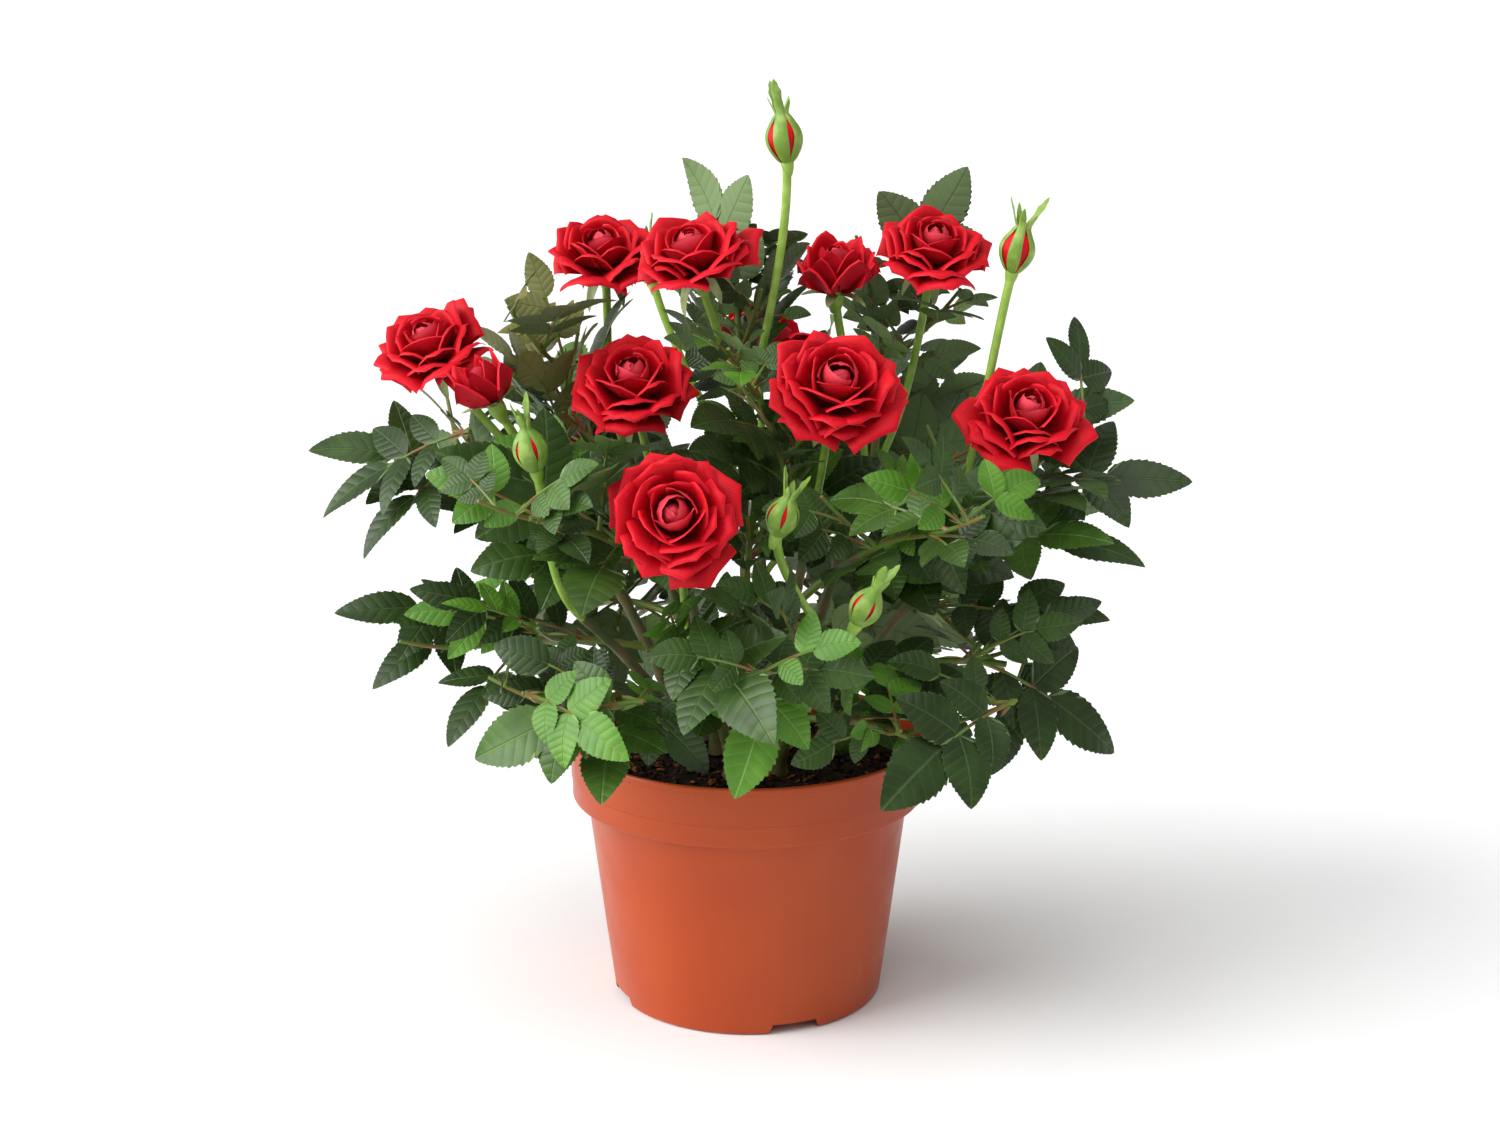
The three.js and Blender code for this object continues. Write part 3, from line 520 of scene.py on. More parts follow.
def flower_room(hip, face, width):
    """What leaves leave free round a flower: its middle, way and radius, and how far back and ahead."""
    hip, face = np.array(hip, float), unit(np.array(face, float))
    if width < BUD_WIDTH:
        return hip + face * width, face, width, width * 1.2, width * 1.6
    return hip + face * 2, face, width / 2 + 2.5, 7, 34


def grow_bush():
    """The lines of the canes and the stalks, and each mass with its stem, twigs and leaves."""
    canes = {name: cane_line(*cane) for name, cane in CANES.items()}
    stalks, masses = {}, {}
    tracks = {f"cane_{name}": Track(line, CANE["foot"]) for name, line in canes.items()}
    for name, (cane, share, hip, face, _) in FLOWERS.items():
        stalks[name] = stalk_line(canes[cane], share, hip, face)
        tracks[name] = Track(stalks[name], STALK["tip"])
    for name, (cane, share, tip, _, count, reach) in FOLIAGE.items():
        stem = stem_line(canes[cane], share, tip)
        masses[name] = dict(stem=stem, random=seeded(seed_of(name)), count=count, reach=reach)
        tracks[f"foliage_{name}"] = Track(stem, STEM["foot"])
    rooms = zip(*[flower_room(*flower[2:]) for flower in FLOWERS.values()])
    zones = [np.array(values) for values in rooms]

    def rules_for(name):
        others = [t for limb, t in tracks.items() if not limb.startswith(f"foliage_{name}")]
        return Rules(name, others, zones)

    for name, mass in masses.items():
        mass["twigs"] = grow_twigs(mass["stem"], mass["random"], rules_for(name))
        for i, twig in enumerate(mass["twigs"]):
            tracks[f"foliage_{name}_{i}"] = Track(twig, TWIG["foot"])
    for name, mass in masses.items():
        lines = [mass["stem"], *mass["twigs"]]
        rules = rules_for(name)
        mass["leaves"] = grow_leaves(mass["count"], mass["reach"], lines, mass["random"], rules, 1)
        rules.in_sight = True
        small = mass["small_leaves"] = []
        for size, fewest in SMALL_LEAVES:
            small += grow_leaves(FILL[name] - len(small), [], lines, mass["random"], rules, size, fewest)
    return canes, stalks, masses


# ---- meshes from arrays -------------------------------------------------------------------------


class Bundle:
    """Many small shapes of one kind, joined into one piece."""

    def __init__(self, name, finishes, slot, nodes):
        self.name, self.finishes, self.slot, self.nodes = name, finishes, slot, nodes
        self.points, self.faces, self.uvs, self.tones, self.count = [], [], [], [], 0

    def add(self, points, faces, uvs, tones):
        points = np.asarray(points, float)
        self.points.append(points)
        self.uvs.append(np.asarray(uvs, float))
        start = self.count
        self.faces += [tuple(start + i for i in face) for face in faces]
        self.tones += tones if isinstance(tones, list) else [tones] * len(faces)
        self.count += len(points)

    def build(self, angle=50):
        mesh = bpy.data.meshes.new(self.name)
        mesh.from_pydata((np.concatenate(self.points) * MM).tolist(), [], self.faces)
        uv = np.concatenate(self.uvs)
        corners = np.zeros(len(mesh.loops), np.int32)
        mesh.loops.foreach_get("vertex_index", corners)
        mesh.uv_layers.new(name="surface").data.foreach_set("uv", uv[corners].astype(np.float32).ravel())
        for finish in self.finishes:
            mesh.materials.append(finish)
        mesh.polygons.foreach_set("material_index", np.array(self.tones, np.int32))
        piece = bpy.data.objects.new(self.name, mesh)
        bpy.context.scene.collection.objects.link(piece)
        smooth(piece, angle)
        place(piece, self.slot, self.nodes)


def smooth(piece, angle):
    """Smooth shading over edges up to an angle in degrees."""
    bpy.ops.object.select_all(action="DESELECT")
    piece.select_set(True)
    bpy.context.view_layer.objects.active = piece
    bpy.ops.object.shade_smooth_by_angle(angle=angle * DEGREE)


def place(piece, slot, nodes):
    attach(piece, BODY)
    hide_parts(*nodes)


def add_tube(bundle, line, radius_at, sides, rings, tone, start=0.0, end=1.0):
    """A round limb along a line, closed at both ends, with its radius given along its length."""
    points, uvs = [], []
    side = None
    for i in range(rings + 1):
        share = i / rings
        t = lerp(start, end, share)
        along = line.tangent(t)
        if side is None:
            side = unit(np.cross(along, [0.31, 0.95, 0.05]))  # no limb runs this way
        side = unit(side - along * side.dot(along))
        other = np.cross(along, side)
        for j in range(sides):
            turn = 2 * math.pi * j / sides
            way = side * math.cos(turn) + other * math.sin(turn)
            points.append(line.at(t) + way * radius_at(share, turn))
            uvs.append((share, j / sides))
    faces = [tuple(reversed(range(sides))), tuple(rings * sides + j for j in range(sides))]
    for i in range(rings):
        for j in range(sides):
            k = (j + 1) % sides
            faces.append((i * sides + j, i * sides + k, (i + 1) * sides + k, (i + 1) * sides + j))
    bundle.add(points, faces, uvs, tone)


def add_sheet(bundle, grid, thickness, tone, back_tone):
    """A thin closed blade from a grid of points: its face, and its back a thickness behind it."""
    rows, cols = grid.shape[:2]
    down, across = np.gradient(grid, axis=0), np.gradient(grid, axis=1)
    normal = np.cross(down, across)
    normal /= np.linalg.norm(normal, axis=2, keepdims=True) + 1e-9
    back = grid[1:-1, 1:-1] - normal[1:-1, 1:-1] * thickness
    points = np.concatenate([grid.reshape(-1, 3), back.reshape(-1, 3)])

    def front(i, j):
        return i * cols + j

    def behind(i, j):
        inner = 0 < i < rows - 1 and 0 < j < cols - 1
        return rows * cols + (i - 1) * (cols - 2) + j - 1 if inner else front(i, j)

    faces = []
    for at, turned in ((front, False), (behind, True)):
        for i in range(rows - 1):
            for j in range(cols - 1):
                face = (at(i, j), at(i + 1, j), at(i + 1, j + 1), at(i, j + 1))
                faces.append(face[::-1] if turned else face)
    u, v = np.meshgrid(np.linspace(0, 1, rows), np.linspace(0, 1, cols), indexing="ij")
    uv = np.stack([u, v], 2)
    uvs = np.concatenate([uv.reshape(-1, 2), uv[1:-1, 1:-1].reshape(-1, 2)])
    half = (rows - 1) * (cols - 1)
    bundle.add(points, faces, uvs, [tone] * half + [back_tone] * half)


# ---- the leaflet's shape ------------------------------------------------------------------------

VEINS = 7  # pairs of side veins
VEIN_SLANT = 0.13  # how far a side vein runs towards the tip, as a share of the leaflet's length
TEETH = ((0.12, 0.93), (0.5, 1.03), (0.6, 0.93))  # from one vein to the next, as (share, how far out)
BLADE_THICK = 0.35
MAP_WIDTH = 2.4  # the leaflet's map is this many half widths across
WIDE_PAIR, WIDE_LAST = 0.7, 0.64  # a leaflet's width as a share of its length, in pairs and at the end
STALK_KNOT = 0.012  # how long a leaf stalk's joints are, as a share of the leaf


def half_width(u):
    """The egg-shaped outline, widest at two fifths, drawn out to a point."""
    return math.sin(math.pi * min(1, u) ** 0.75) ** 0.7 * (1 - 0.16 * u ** 4)


def leaflet_pattern():
    """A leaflet on a unit square: corners as (along, across, on the back), faces, and which are back."""
    corners, faces, back = [], [], []

    def corner(u, v, below=0):
        corners.append((u, v, below))
        return len(corners) - 1

    def edge_at(k):
        return min(1, k / VEINS + VEIN_SLANT * math.sin(math.pi * k / VEINS))

    base, tip = corner(0, 0), corner(1, 0)
    ribs = [base, *[corner(k / VEINS, 0) for k in range(1, VEINS)], tip]
    under = [base, *[corner(k / VEINS, 0, 1) for k in range(1, VEINS)], tip]
    for hand in (1, -1):
        ends = [base, *[corner(edge_at(k), hand * half_width(edge_at(k))) for k in range(1, VEINS)], tip]
        mids = [None, *[corner(lerp(k / VEINS, edge_at(k), 0.5), hand * 0.55 * half_width(edge_at(k)))
                        for k in range(1, VEINS)], None]
        for k in range(VEINS):
            low, high = edge_at(k), edge_at(k + 1)
            teeth = []
            for part, out in TEETH:
                u = lerp(low, high, part)
                teeth.append(corner(u, hand * half_width(u) * out))
            inner = [ribs[k], ribs[k + 1]] + [m for m in (mids[k + 1], mids[k]) if m is not None]
            start = mids[k] if mids[k] is not None else ribs[k]
            stop = mids[k + 1] if mids[k + 1] is not None else ribs[k + 1]
            outer = [stop, *([ends[k + 1]] if ends[k + 1] != stop else []), *teeth[::-1],
                     *([ends[k]] if ends[k] != start else []), start]
            below = [under[k], under[k + 1], *([ends[k + 1]] if ends[k + 1] != under[k + 1] else []),
                     *teeth[::-1], *([ends[k]] if ends[k] != under[k] else [])]
            for face, is_back in ((inner, False), (outer, False), (below, True)):
                if hand < 0:
                    face = face[::-1]
                faces.append(tuple(face[::-1] if is_back else face))
                back.append(is_back)
    return np.array(corners), faces, back


LEAFLET = leaflet_pattern()


def add_leaflet(bundle, blade, width, random, tone, back_tone):
    """The leaflet on its blade's place, with its own fold, arch, curl and twist."""
    corners, faces, back = LEAFLET
    u, v, below = corners.T
    half = width / 2
    fold, curl = 0.1 + 0.2 * random(), 0.1 + 0.16 * random()
    arch, twist = 0.03 + 0.07 * random(), 0.5 * (random() - 0.5)
    sweep = 0.1 * (random() - 0.5)
    bow = 4 * u * (1 - u) * blade.length
    height = (np.abs(v) * half * fold - v * v * half * curl + bow * arch + twist * v * u * half
              - below * BLADE_THICK)
    shift = v * half + bow * sweep
    points = (blade.base + np.outer(u * blade.length, blade.along) + np.outer(shift, blade.side)
              + np.outer(height, blade.normal))
    tones = [back_tone if is_back else tone for is_back in back]
    bundle.add(points, faces, np.stack([u, 0.5 + v / MAP_WIDTH], 1), tones)


def add_leaf(leaves, stalks, leaf, slim, random, tone, back_tone):
    """A compound leaf: its leaflets, its stalk with a joint at each pair, and its two stipules."""
    size = leaf["length"] / LEAF["length"]
    for i, blade in enumerate(leaf["blades"]):
        if blade is None:
            continue
        wide = slim * (WIDE_PAIR if i < 4 else WIDE_LAST) * (0.94 + 0.12 * random())
        add_leaflet(leaves, blade, blade.length * wide, random, tone, back_tone)
    thick = 0.35 + 0.25 * size
    joints = [at for at, _ in LEAF["pairs"]] + [LEAF["last_at"]]

    def radius_at(share, turn):
        knot = max(bell(share * joints[-1], joint, STALK_KNOT) for joint in joints)
        return thick * (1.25 - 0.5 * share) * (1 + 0.3 * knot) * (1 + 0.5 * math.exp(-share * 22))

    add_tube(stalks, leaf["line"], radius_at, 5, 9, 0, 0.0, LEAF["last_at"] + 0.02)
    for hand in (1, -1):
        along = leaf["line"].tangent(0.05)
        side = unit(np.cross(leaf["face"], along)) * hand
        base = leaf["line"].at(0.01)
        tip = leaf["line"].at(0.13) + side * 2.6 * size
        grid = np.zeros((4, 3, 3))
        for row, s in enumerate((0, 0.35, 0.7, 1)):
            middle = lerp(base, tip, s)
            spread = unit(np.cross(tip - base, leaf["face"])) * 0.9 * size * (1 - s) ** 0.5 * (0.5 + s)
            for col, c in enumerate((-1, 0, 1)):
                grid[row, col] = middle + spread * c
        add_sheet(stalks, grid, 0.2, 0, 0)


# ---- flowers ------------------------------------------------------------------------------------


# A petal's rows, as shares of its length, closer together at its rolled rim, and its columns across.
PETAL_ROWS = (0, 0.3, 0.56, 0.78, 0.92, 0.985, 1)
PETAL_COLUMNS = (-1, -0.7, -0.34, 0, 0.34, 0.7, 1)
PETAL_RIM = (0, 0, 0, 0, 0.06, 0.35, 1)  # how much of the rim's roll each row has
PETAL_THICK = 0.2
PETALS = (15, 33)  # in a half-open bloom and in an open one
SEPAL = dict(width=2.9, foot=(1.6, -0.6), thick=0.25, rows=9, columns=5)
BUD_SEPAL = dict(thick=0.3, rows=22, columns=7)
FULL_TURN = 6.28


def petal_profile(t, radius, height, opened):
    """A petal's side view as (out, up) points: t is 0 at the heart of the flower and 1 outside."""
    r, h = radius, height
    heart = np.array([(0.5, 1), (0.24 * r, 0.3 * h), (0.28 * r, 0.8 * h), (-0.02 * r, 0.8 * h)])
    middle = lerp(np.array([(1, 1), (0.6 * r, 0.1 * h), (0.62 * r, 0.7 * h), (0.62 * r, 1.0 * h)]),
                  np.array([(1, 1), (0.5 * r, 0.1 * h), (0.46 * r, 0.84 * h), (0.76 * r, 0.86 * h)]), opened)
    outer = lerp(np.array([(1.5, 0), (0.8 * r, 0.02 * h), (0.84 * r, 0.62 * h), (1.14 * r, 0.9 * h)]),
                 np.array([(1.5, 0), (0.62 * r, -0.02 * h), (0.8 * r, 0.5 * h), (1.22 * r, 0.26 * h)]), opened)
    return lerp(heart, middle, t * 2) if t < 0.5 else lerp(middle, outer, t * 2 - 1)


def add_petal(bundle, t, turn, radius, height, opened, random, to_row, tone, back_tone):
    """A petal: narrow at its claw, its sides folded back from its middle so that it ends in a point."""
    profile = Bow(*petal_profile(t, radius, height, opened))
    wide = lerp(0.36, 0.6, t) * radius * (0.84 + 0.32 * random())
    drop = lerp(0.14, 0.48, smoothstep(t, 0, 0.5)) * (0.8 + 0.35 * random())
    fold = lerp(0.02, 0.2, t) * radius * (0.35 + 0.65 * opened) * (0.5 + random())
    rim, flat = lerp(0.5, 1.2, t), smoothstep(t, 0.15, 0.6)
    lean, skew = (random() - 0.5) * 0.24 * height * min(1, 2 * t), (random() - 0.5) * 0.34
    wave, phase = 0.05 * radius * t * random(), FULL_TURN * random()
    grid = np.zeros((len(PETAL_ROWS), len(PETAL_COLUMNS), 3))
    for j, v in enumerate(PETAL_COLUMNS):
        reach = 1 - drop * abs(v - 0.3 * skew) ** 1.15
        for i, share in enumerate(PETAL_ROWS):
            s = share * reach
            (out, up), (rise_out, rise_up) = profile.at(s), profile.tangent(s)
            back = fold * abs(v) ** 1.7 * share ** 2 + rim * PETAL_RIM[i]
            out += rise_up * back
            up += -rise_out * back + lean * s + wave * math.sin(4 * v + phase) * s ** 3
            side = v * wide * (0.24 + 0.76 * math.sin(min(1, s * 1.5) * math.pi / 2))
            wrap, swing = side / max(out, 0.24 * radius), turn + skew * s * t
            x, y = lerp(out * math.cos(wrap), out, flat), lerp(out * math.sin(wrap), side, flat)
            grid[i, j] = (*swung(x, y, swing), up)
    add_sheet(bundle, to_row(grid), PETAL_THICK, tone, back_tone)


def add_sepal(bundle, length, turn, bend, to_row):
    """A sepal: from the hip it bends out by its angles at the foot and tip, and ends in a fine point."""
    rows, columns = SEPAL["rows"], SEPAL["columns"]
    grid = np.zeros((rows, columns, 3))
    out, up = SEPAL["foot"]
    for i in range(rows):
        s = i / (rows - 1)
        angle = lerp(*bend, s)
        if i:
            out += math.sin(angle) * length / (rows - 1)
            up += math.cos(angle) * length / (rows - 1)
        span = SEPAL["width"] * (1 - s) ** 0.8 * (0.55 + 0.9 * s) + 0.12
        for j in range(columns):
            v = 2 * j / (columns - 1) - 1
            cup = 0.18 * span * v * v
            grid[i, j] = (*swung(out - cup * math.cos(angle), v * span, turn), up + cup * math.sin(angle))
    add_sheet(bundle, to_row(grid), SEPAL["thick"], 1, 1)


def facing(hip, face, spin):
    """Turns points of a flower that stands at the origin facing up into their place in the bush."""
    turn = Vector((0, 0, 1)).rotation_difference(Vector(face).normalized()).to_matrix()
    matrix = np.array(turn) @ spin_matrix(spin)
    return lambda grid: grid @ matrix.T + np.array(hip, float)


def upright(to_row, low, high, out=0):
    """The middle line of a round form that stands in a flower."""
    return Bow(to_row(np.array([0, 0, low], float)), to_row(np.array([out, 0, high], float)))


def add_bloom(petals, greens, hip, face, width, random):
    """A bloom: petals in a spiral round a rolled heart, five sepals bent back, and the hip."""
    radius = width / 2
    opened = smoothstep(width, 18, 40)
    height = lerp(radius * 1.7, radius * 0.86, opened)
    to_row = facing(hip, face, FULL_TURN * random())
    count = round(lerp(*PETALS, opened))
    for i in range(count):
        t = (i / (count - 1)) ** 0.85
        turn = i * TURN * DEGREE + 0.7 * (random() - 0.5)
        grown = radius * (0.86 + 0.18 * random())
        # Heart petals show their backs in tone 4, paler pink like any petal back, and paler still as a painted
        # highlight.
        tone, back_tone = (0, 4) if t < 0.2 else (1, 3) if t < 0.7 else (2, 3)
        add_petal(petals, t, turn, grown, height, opened, random, to_row, tone, back_tone)

    def heart_at(s, turn):
        return (0.19 * radius * math.sin(math.pi * (0.1 + 0.84 * s)) ** 0.6
                * (1 + 0.1 * math.sin(2 * turn + 5 * s)))

    # The rolled heart in tone 4: paler pink, partly a painted highlight.
    add_tube(petals, upright(to_row, 1, 0.78 * height, 0.05 * radius), heart_at, 9, 6, 4)
    for i in range(5):
        bend = (lerp(0.9, 1.75, opened), lerp(1.2, 2.85, opened) + 0.3 * random())
        long = lerp(9.5, 0.7 * radius, opened) * (0.85 + 0.3 * random())
        add_sepal(greens, long, i * 72 * DEGREE + 0.3 * random(), bend, to_row)
    add_hip(greens, to_row, 2.5 + 0.02 * width)


def add_hip(greens, to_row, size):
    """The green cup under a flower, where its stalk widens."""

    def cup_at(s, turn):
        return size * (0.5 + 0.5 * math.sin(min(1, s * 1.15) * math.pi * 0.62))

    add_tube(greens, upright(to_row, -2.4 * size, 0.9), cup_at, 10, 7, 0)


def add_bud(petals, greens, hip, face, width, parted, random):
    """A bud: red petals rolled tight, in five sepals that part by a share and end in leafy tips."""
    radius, foot = width / 2, 1.5
    top = radius * 2.3
    to_row = facing(hip, face, FULL_TURN * random())
    rows, columns = BUD_SEPAL["rows"], BUD_SEPAL["columns"]

    def body_at(s):
        return 0.9 * radius * math.sin(math.pi * min(1, 0.08 + s * 0.9) ** 1.15) ** 0.8

    def rolled_at(s, turn):
        return body_at(s) * (1 + 0.03 * math.sin(3 * turn + 9 * s))

    add_tube(petals, upright(to_row, -foot, top), rolled_at, 16, 12, 1)
    for i in range(5):
        turn = i * 72 * DEGREE + 0.1 * random()
        long_tip = i in (0, 2)
        lift = radius * ((1.5 if long_tip else 0.7) + 0.5 * random())
        flare = 0.2 + 0.5 * random() + 0.5 * parted
        grid = np.zeros((rows, columns, 3))
        for r in range(rows):
            s = r / (rows - 1)
            up = lerp(-1.2, top + lift, s)
            free = max(0.0, up - 0.82 * top)
            out = max(body_at(min(1.0, (up + foot) / (top + foot))), 0.6) + 0.25 + flare * free * 0.55
            leafy = (1.0 if long_tip else 0.3) * (bell(s, 0.84, 0.03) + 0.8 * bell(s, 0.93, 0.025))
            span = lerp(0.62, 0.44, parted) * math.sin(min(1, s * 2.2 + 0.25) * math.pi / 2)
            span = radius * (span * (1 - s) ** 0.62) + 0.12 + leafy
            for c in range(columns):
                v = 2 * c / (columns - 1) - 1
                wrap = v * span / max(out, 0.45 * radius)
                grid[r, c] = (out * math.cos(turn + wrap), out * math.sin(turn + wrap), up)
        add_sheet(greens, to_row(grid), BUD_SEPAL["thick"], 2, 2)
    add_hip(greens, to_row, 2.2)


# ---- finishes -----------------------------------------------------------------------------------


def linear(code):
    """An sRGB hex colour as linear light."""
    parts = [int(code[i:i + 2], 16) / 255 for i in (1, 3, 5)]
    return [p / 12.92 if p <= 0.04045 else ((p + 0.055) / 1.055) ** 2.4 for p in parts] + [1.0]


MATH, MIX, RANGE, NOISE = "ShaderNodeMath", "ShaderNodeMix", "ShaderNodeMapRange", "ShaderNodeTexNoise"
PLACE, SHIFT, BUMP = "ShaderNodeTexCoord", "ShaderNodeMapping", "ShaderNodeBump"
COLOURS, SMOOTH = {"data_type": "RGBA"}, {"interpolation_type": "SMOOTHSTEP"}


def node(tree, kind, settings=None, output=0, **inputs):
    """Adds a node with its settings, sets or links its inputs by name or number, and gives one output."""
    made = tree.nodes.new(kind)
    for key, value in (settings or {}).items():
        setattr(made, key, value)
    for key, value in inputs.items():
        socket = made.inputs[int(key[1:])] if key[1:].isdigit() else made.inputs[key.replace("_", " ")]
        if isinstance(value, bpy.types.NodeSocket):
            tree.links.new(value, socket)
        else:
            socket.default_value = value
    return made.outputs[output]


def blank(name, code, roughness, **sockets):
    """A new finish with its shader: its colour, roughness and other plain sockets."""
    finish = bpy.data.materials.new(name)
    finish.use_nodes = True
    tree = finish.node_tree
    shader = tree.nodes["Principled BSDF"]
    shader.inputs["Base Color"].default_value = linear(code)
    shader.inputs["Roughness"].default_value = roughness
    for key, value in sockets.items():
        shader.inputs[key.replace("_", " ")].default_value = value
    return finish, tree, shader


def rose_leaf(name, deep, light, vein, roughness=0.38):
    """Living rose leaf: waxy, half glossy, slightly puffed between its side veins, with a paler midrib."""
    finish, tree, shader = blank(name, deep, roughness, Specular_IOR_Level=0.36)
    uv = node(tree, "ShaderNodeUVMap", {"uv_map": "surface"})
    along = node(tree, "ShaderNodeSeparateXYZ", output=0, Vector=uv)
    side = node(tree, "ShaderNodeSeparateXYZ", output=1, Vector=uv)
    across = node(tree, MATH, {"operation": "MULTIPLY_ADD"}, _0=side, _1=MAP_WIDTH, _2=-MAP_WIDTH / 2)
    across = node(tree, MATH, {"operation": "ABSOLUTE"}, _0=across)
    rib = node(tree, RANGE, SMOOTH, Value=across, From_Min=0.012, From_Max=0.06, To_Min=1.0, To_Max=0.0)
    run = node(tree, MATH, {"operation": "MULTIPLY_ADD"}, _0=across, _1=-VEIN_SLANT * 1.3, _2=along)
    turn = node(tree, MATH, {"operation": "MULTIPLY"}, _0=run, _1=math.pi * VEINS)
    puff = node(tree, MATH, {"operation": "SINE"}, _0=turn)
    puff = node(tree, MATH, {"operation": "ABSOLUTE"}, _0=puff)
    side_vein = node(tree, RANGE, SMOOTH, Value=puff, From_Min=0.03, From_Max=0.2, To_Min=0.14, To_Max=0.0)
    rib_tint = node(tree, MATH, {"operation": "MULTIPLY"}, _0=rib, _1=0.3)
    lined = node(tree, MATH, {"operation": "MAXIMUM"}, _0=rib_tint, _1=side_vein)
    place_at = node(tree, PLACE, output="Object")
    clouds = node(tree, NOISE, Vector=place_at, Scale=1000 / 9, Detail=3.0)  # patches of about 9 mm
    clouds = node(tree, RANGE, SMOOTH, Value=clouds, From_Min=0.35, From_Max=0.7)
    skin = node(tree, MIX, COLOURS, output=2, _0=clouds, _6=linear(deep), _7=linear(light))
    veined = node(tree, MIX, COLOURS, output=2, _0=lined, _6=skin, _7=linear(vein))
    tree.links.new(veined, shader.inputs["Base Color"])
    rib_dip = node(tree, MATH, {"operation": "MULTIPLY"}, _0=rib, _1=1.4)
    raised = node(tree, MATH, {"operation": "POWER"}, _0=puff, _1=0.7)
    relief = node(tree, MATH, {"operation": "SUBTRACT"}, _0=raised, _1=rib_dip)
    bump = node(tree, BUMP, Height=relief, Distance=0.22 * MM, Strength=0.6)
    tree.links.new(bump, shader.inputs["Normal"])
    return finish


def rose_petal(name, claw, rim, roughness=0.55):
    """Rose petal: velvety, from tiny domed cells that give a faint sheen; its rolled rim is tinted pale red as
    a painted highlight.
    """
    finish, tree, shader = blank(name, rim, roughness, Specular_IOR_Level=0.2, Sheen_Weight=0.07,
                                 Sheen_Roughness=0.4, Sheen_Tint=(1.0, 0.25, 0.28, 1.0))
    uv = node(tree, "ShaderNodeUVMap", {"uv_map": "surface"})
    along = node(tree, "ShaderNodeSeparateXYZ", output=0, Vector=uv)
    outward = node(tree, RANGE, SMOOTH, Value=along, From_Min=0.25, From_Max=0.95)
    body = node(tree, MIX, COLOURS, output=2, _0=outward, _6=linear(claw), _7=linear(rim))
    # Painted highlight: the rolled rim is tinted pale red, as if lit, by its place along the petal.
    rim_highlight_mask = node(tree, RANGE, SMOOTH, Value=along, From_Min=0.8, From_Max=0.98, To_Max=0.4)
    painted_highlight_colour = node(tree, MIX, COLOURS, output=2, _0=rim_highlight_mask, _6=body, _7=linear("#DE3446"))
    tree.links.new(painted_highlight_colour, shader.inputs["Base Color"])
    veins = node(tree, "ShaderNodeTexWave", {"wave_type": "BANDS", "bands_direction": "Y"}, output=1,
                 Vector=uv, Scale=9.0, Distortion=2.5, Detail=2.0)
    bump = node(tree, BUMP, Height=veins, Distance=0.08 * MM, Strength=0.5)
    tree.links.new(bump, shader.inputs["Normal"])
    return finish


def green_stem(name, code, other, roughness=0.42, size_mm=5):
    """Young rose wood: smooth green skin with a waxy gloss and paler and browner patches."""
    finish, tree, shader = blank(name, code, roughness, Specular_IOR_Level=0.4)
    place_at = node(tree, PLACE, output="Object")
    patches = node(tree, NOISE, Vector=place_at, Scale=1000 / size_mm, Detail=3.0)
    patches = node(tree, RANGE, SMOOTH, Value=patches, From_Min=0.4, From_Max=0.68)
    skin = node(tree, MIX, COLOURS, output=2, _0=patches, _6=linear(code), _7=linear(other))
    tree.links.new(skin, shader.inputs["Base Color"])
    drawn = node(tree, SHIFT, Vector=place_at, Scale=(1, 1, 0.3))
    ridges = node(tree, NOISE, Vector=drawn, Scale=1000 / 1.2, Detail=3.0)  # ridges 1.2 mm apart
    bump = node(tree, BUMP, Height=ridges, Distance=0.12 * MM, Strength=0.5)
    tree.links.new(bump, shader.inputs["Normal"])
    return finish


def moulded_pot():
    """Moulded terracotta-coloured polypropylene: an even colour, a soft gloss and faint pale scuffs."""
    finish, tree, shader = blank("polypropylene_terracotta", "#AA4014", 0.37, Specular_IOR_Level=0.34,
                                 IOR=1.49)
    place_at = node(tree, PLACE, output="Object")
    clouds = node(tree, NOISE, Vector=place_at, Scale=1000 / 45, Detail=2.0)  # uneven colour, 45 mm across
    clouds = node(tree, RANGE, SMOOTH, Value=clouds, From_Min=0.3, From_Max=0.72)
    base = node(tree, MIX, COLOURS, output=2, _0=clouds, _6=linear("#A63D10"), _7=linear("#AE4514"))
    drawn = node(tree, SHIFT, Vector=place_at, Scale=(1, 1, 0.22))
    scuffs = node(tree, NOISE, Vector=drawn, Scale=1000 / 3, Detail=6.0, Roughness=0.7)  # scuffs 3 mm wide
    scuffs = node(tree, RANGE, SMOOTH, Value=scuffs, From_Min=0.63, From_Max=0.74, To_Max=0.4)
    worn = node(tree, NOISE, Vector=place_at, Scale=1000 / 30, Detail=1.0)  # only in patches of 30 mm
    worn = node(tree, RANGE, SMOOTH, Value=worn, From_Min=0.52, From_Max=0.7)
    scuffed = node(tree, MATH, {"operation": "MULTIPLY"}, _0=scuffs, _1=worn)
    mixed = node(tree, MIX, COLOURS, output=2, _0=scuffed, _6=base, _7=linear("#E0A489"))
    tree.links.new(mixed, shader.inputs["Base Color"])
    gloss = node(tree, NOISE, Vector=place_at, Scale=1000 / 14, Detail=4.0)
    gloss = node(tree, RANGE, SMOOTH, Value=gloss, From_Min=0.3, From_Max=0.7, To_Min=0.31, To_Max=0.43)
    tree.links.new(gloss, shader.inputs["Roughness"])
    swell = node(tree, NOISE, Vector=place_at, Scale=1000 / 22, Detail=2.0)  # the wall's slow waves
    grain = node(tree, NOISE, Vector=place_at, Scale=1000 / 0.9, Detail=2.0)  # the mould's fine grain
    surface = node(tree, MATH, {"operation": "MULTIPLY_ADD"}, _0=grain, _1=0.06, _2=swell)
    bump = node(tree, BUMP, Height=surface, Distance=0.25 * MM, Strength=0.35)
    tree.links.new(bump, shader.inputs["Normal"])
    return finish


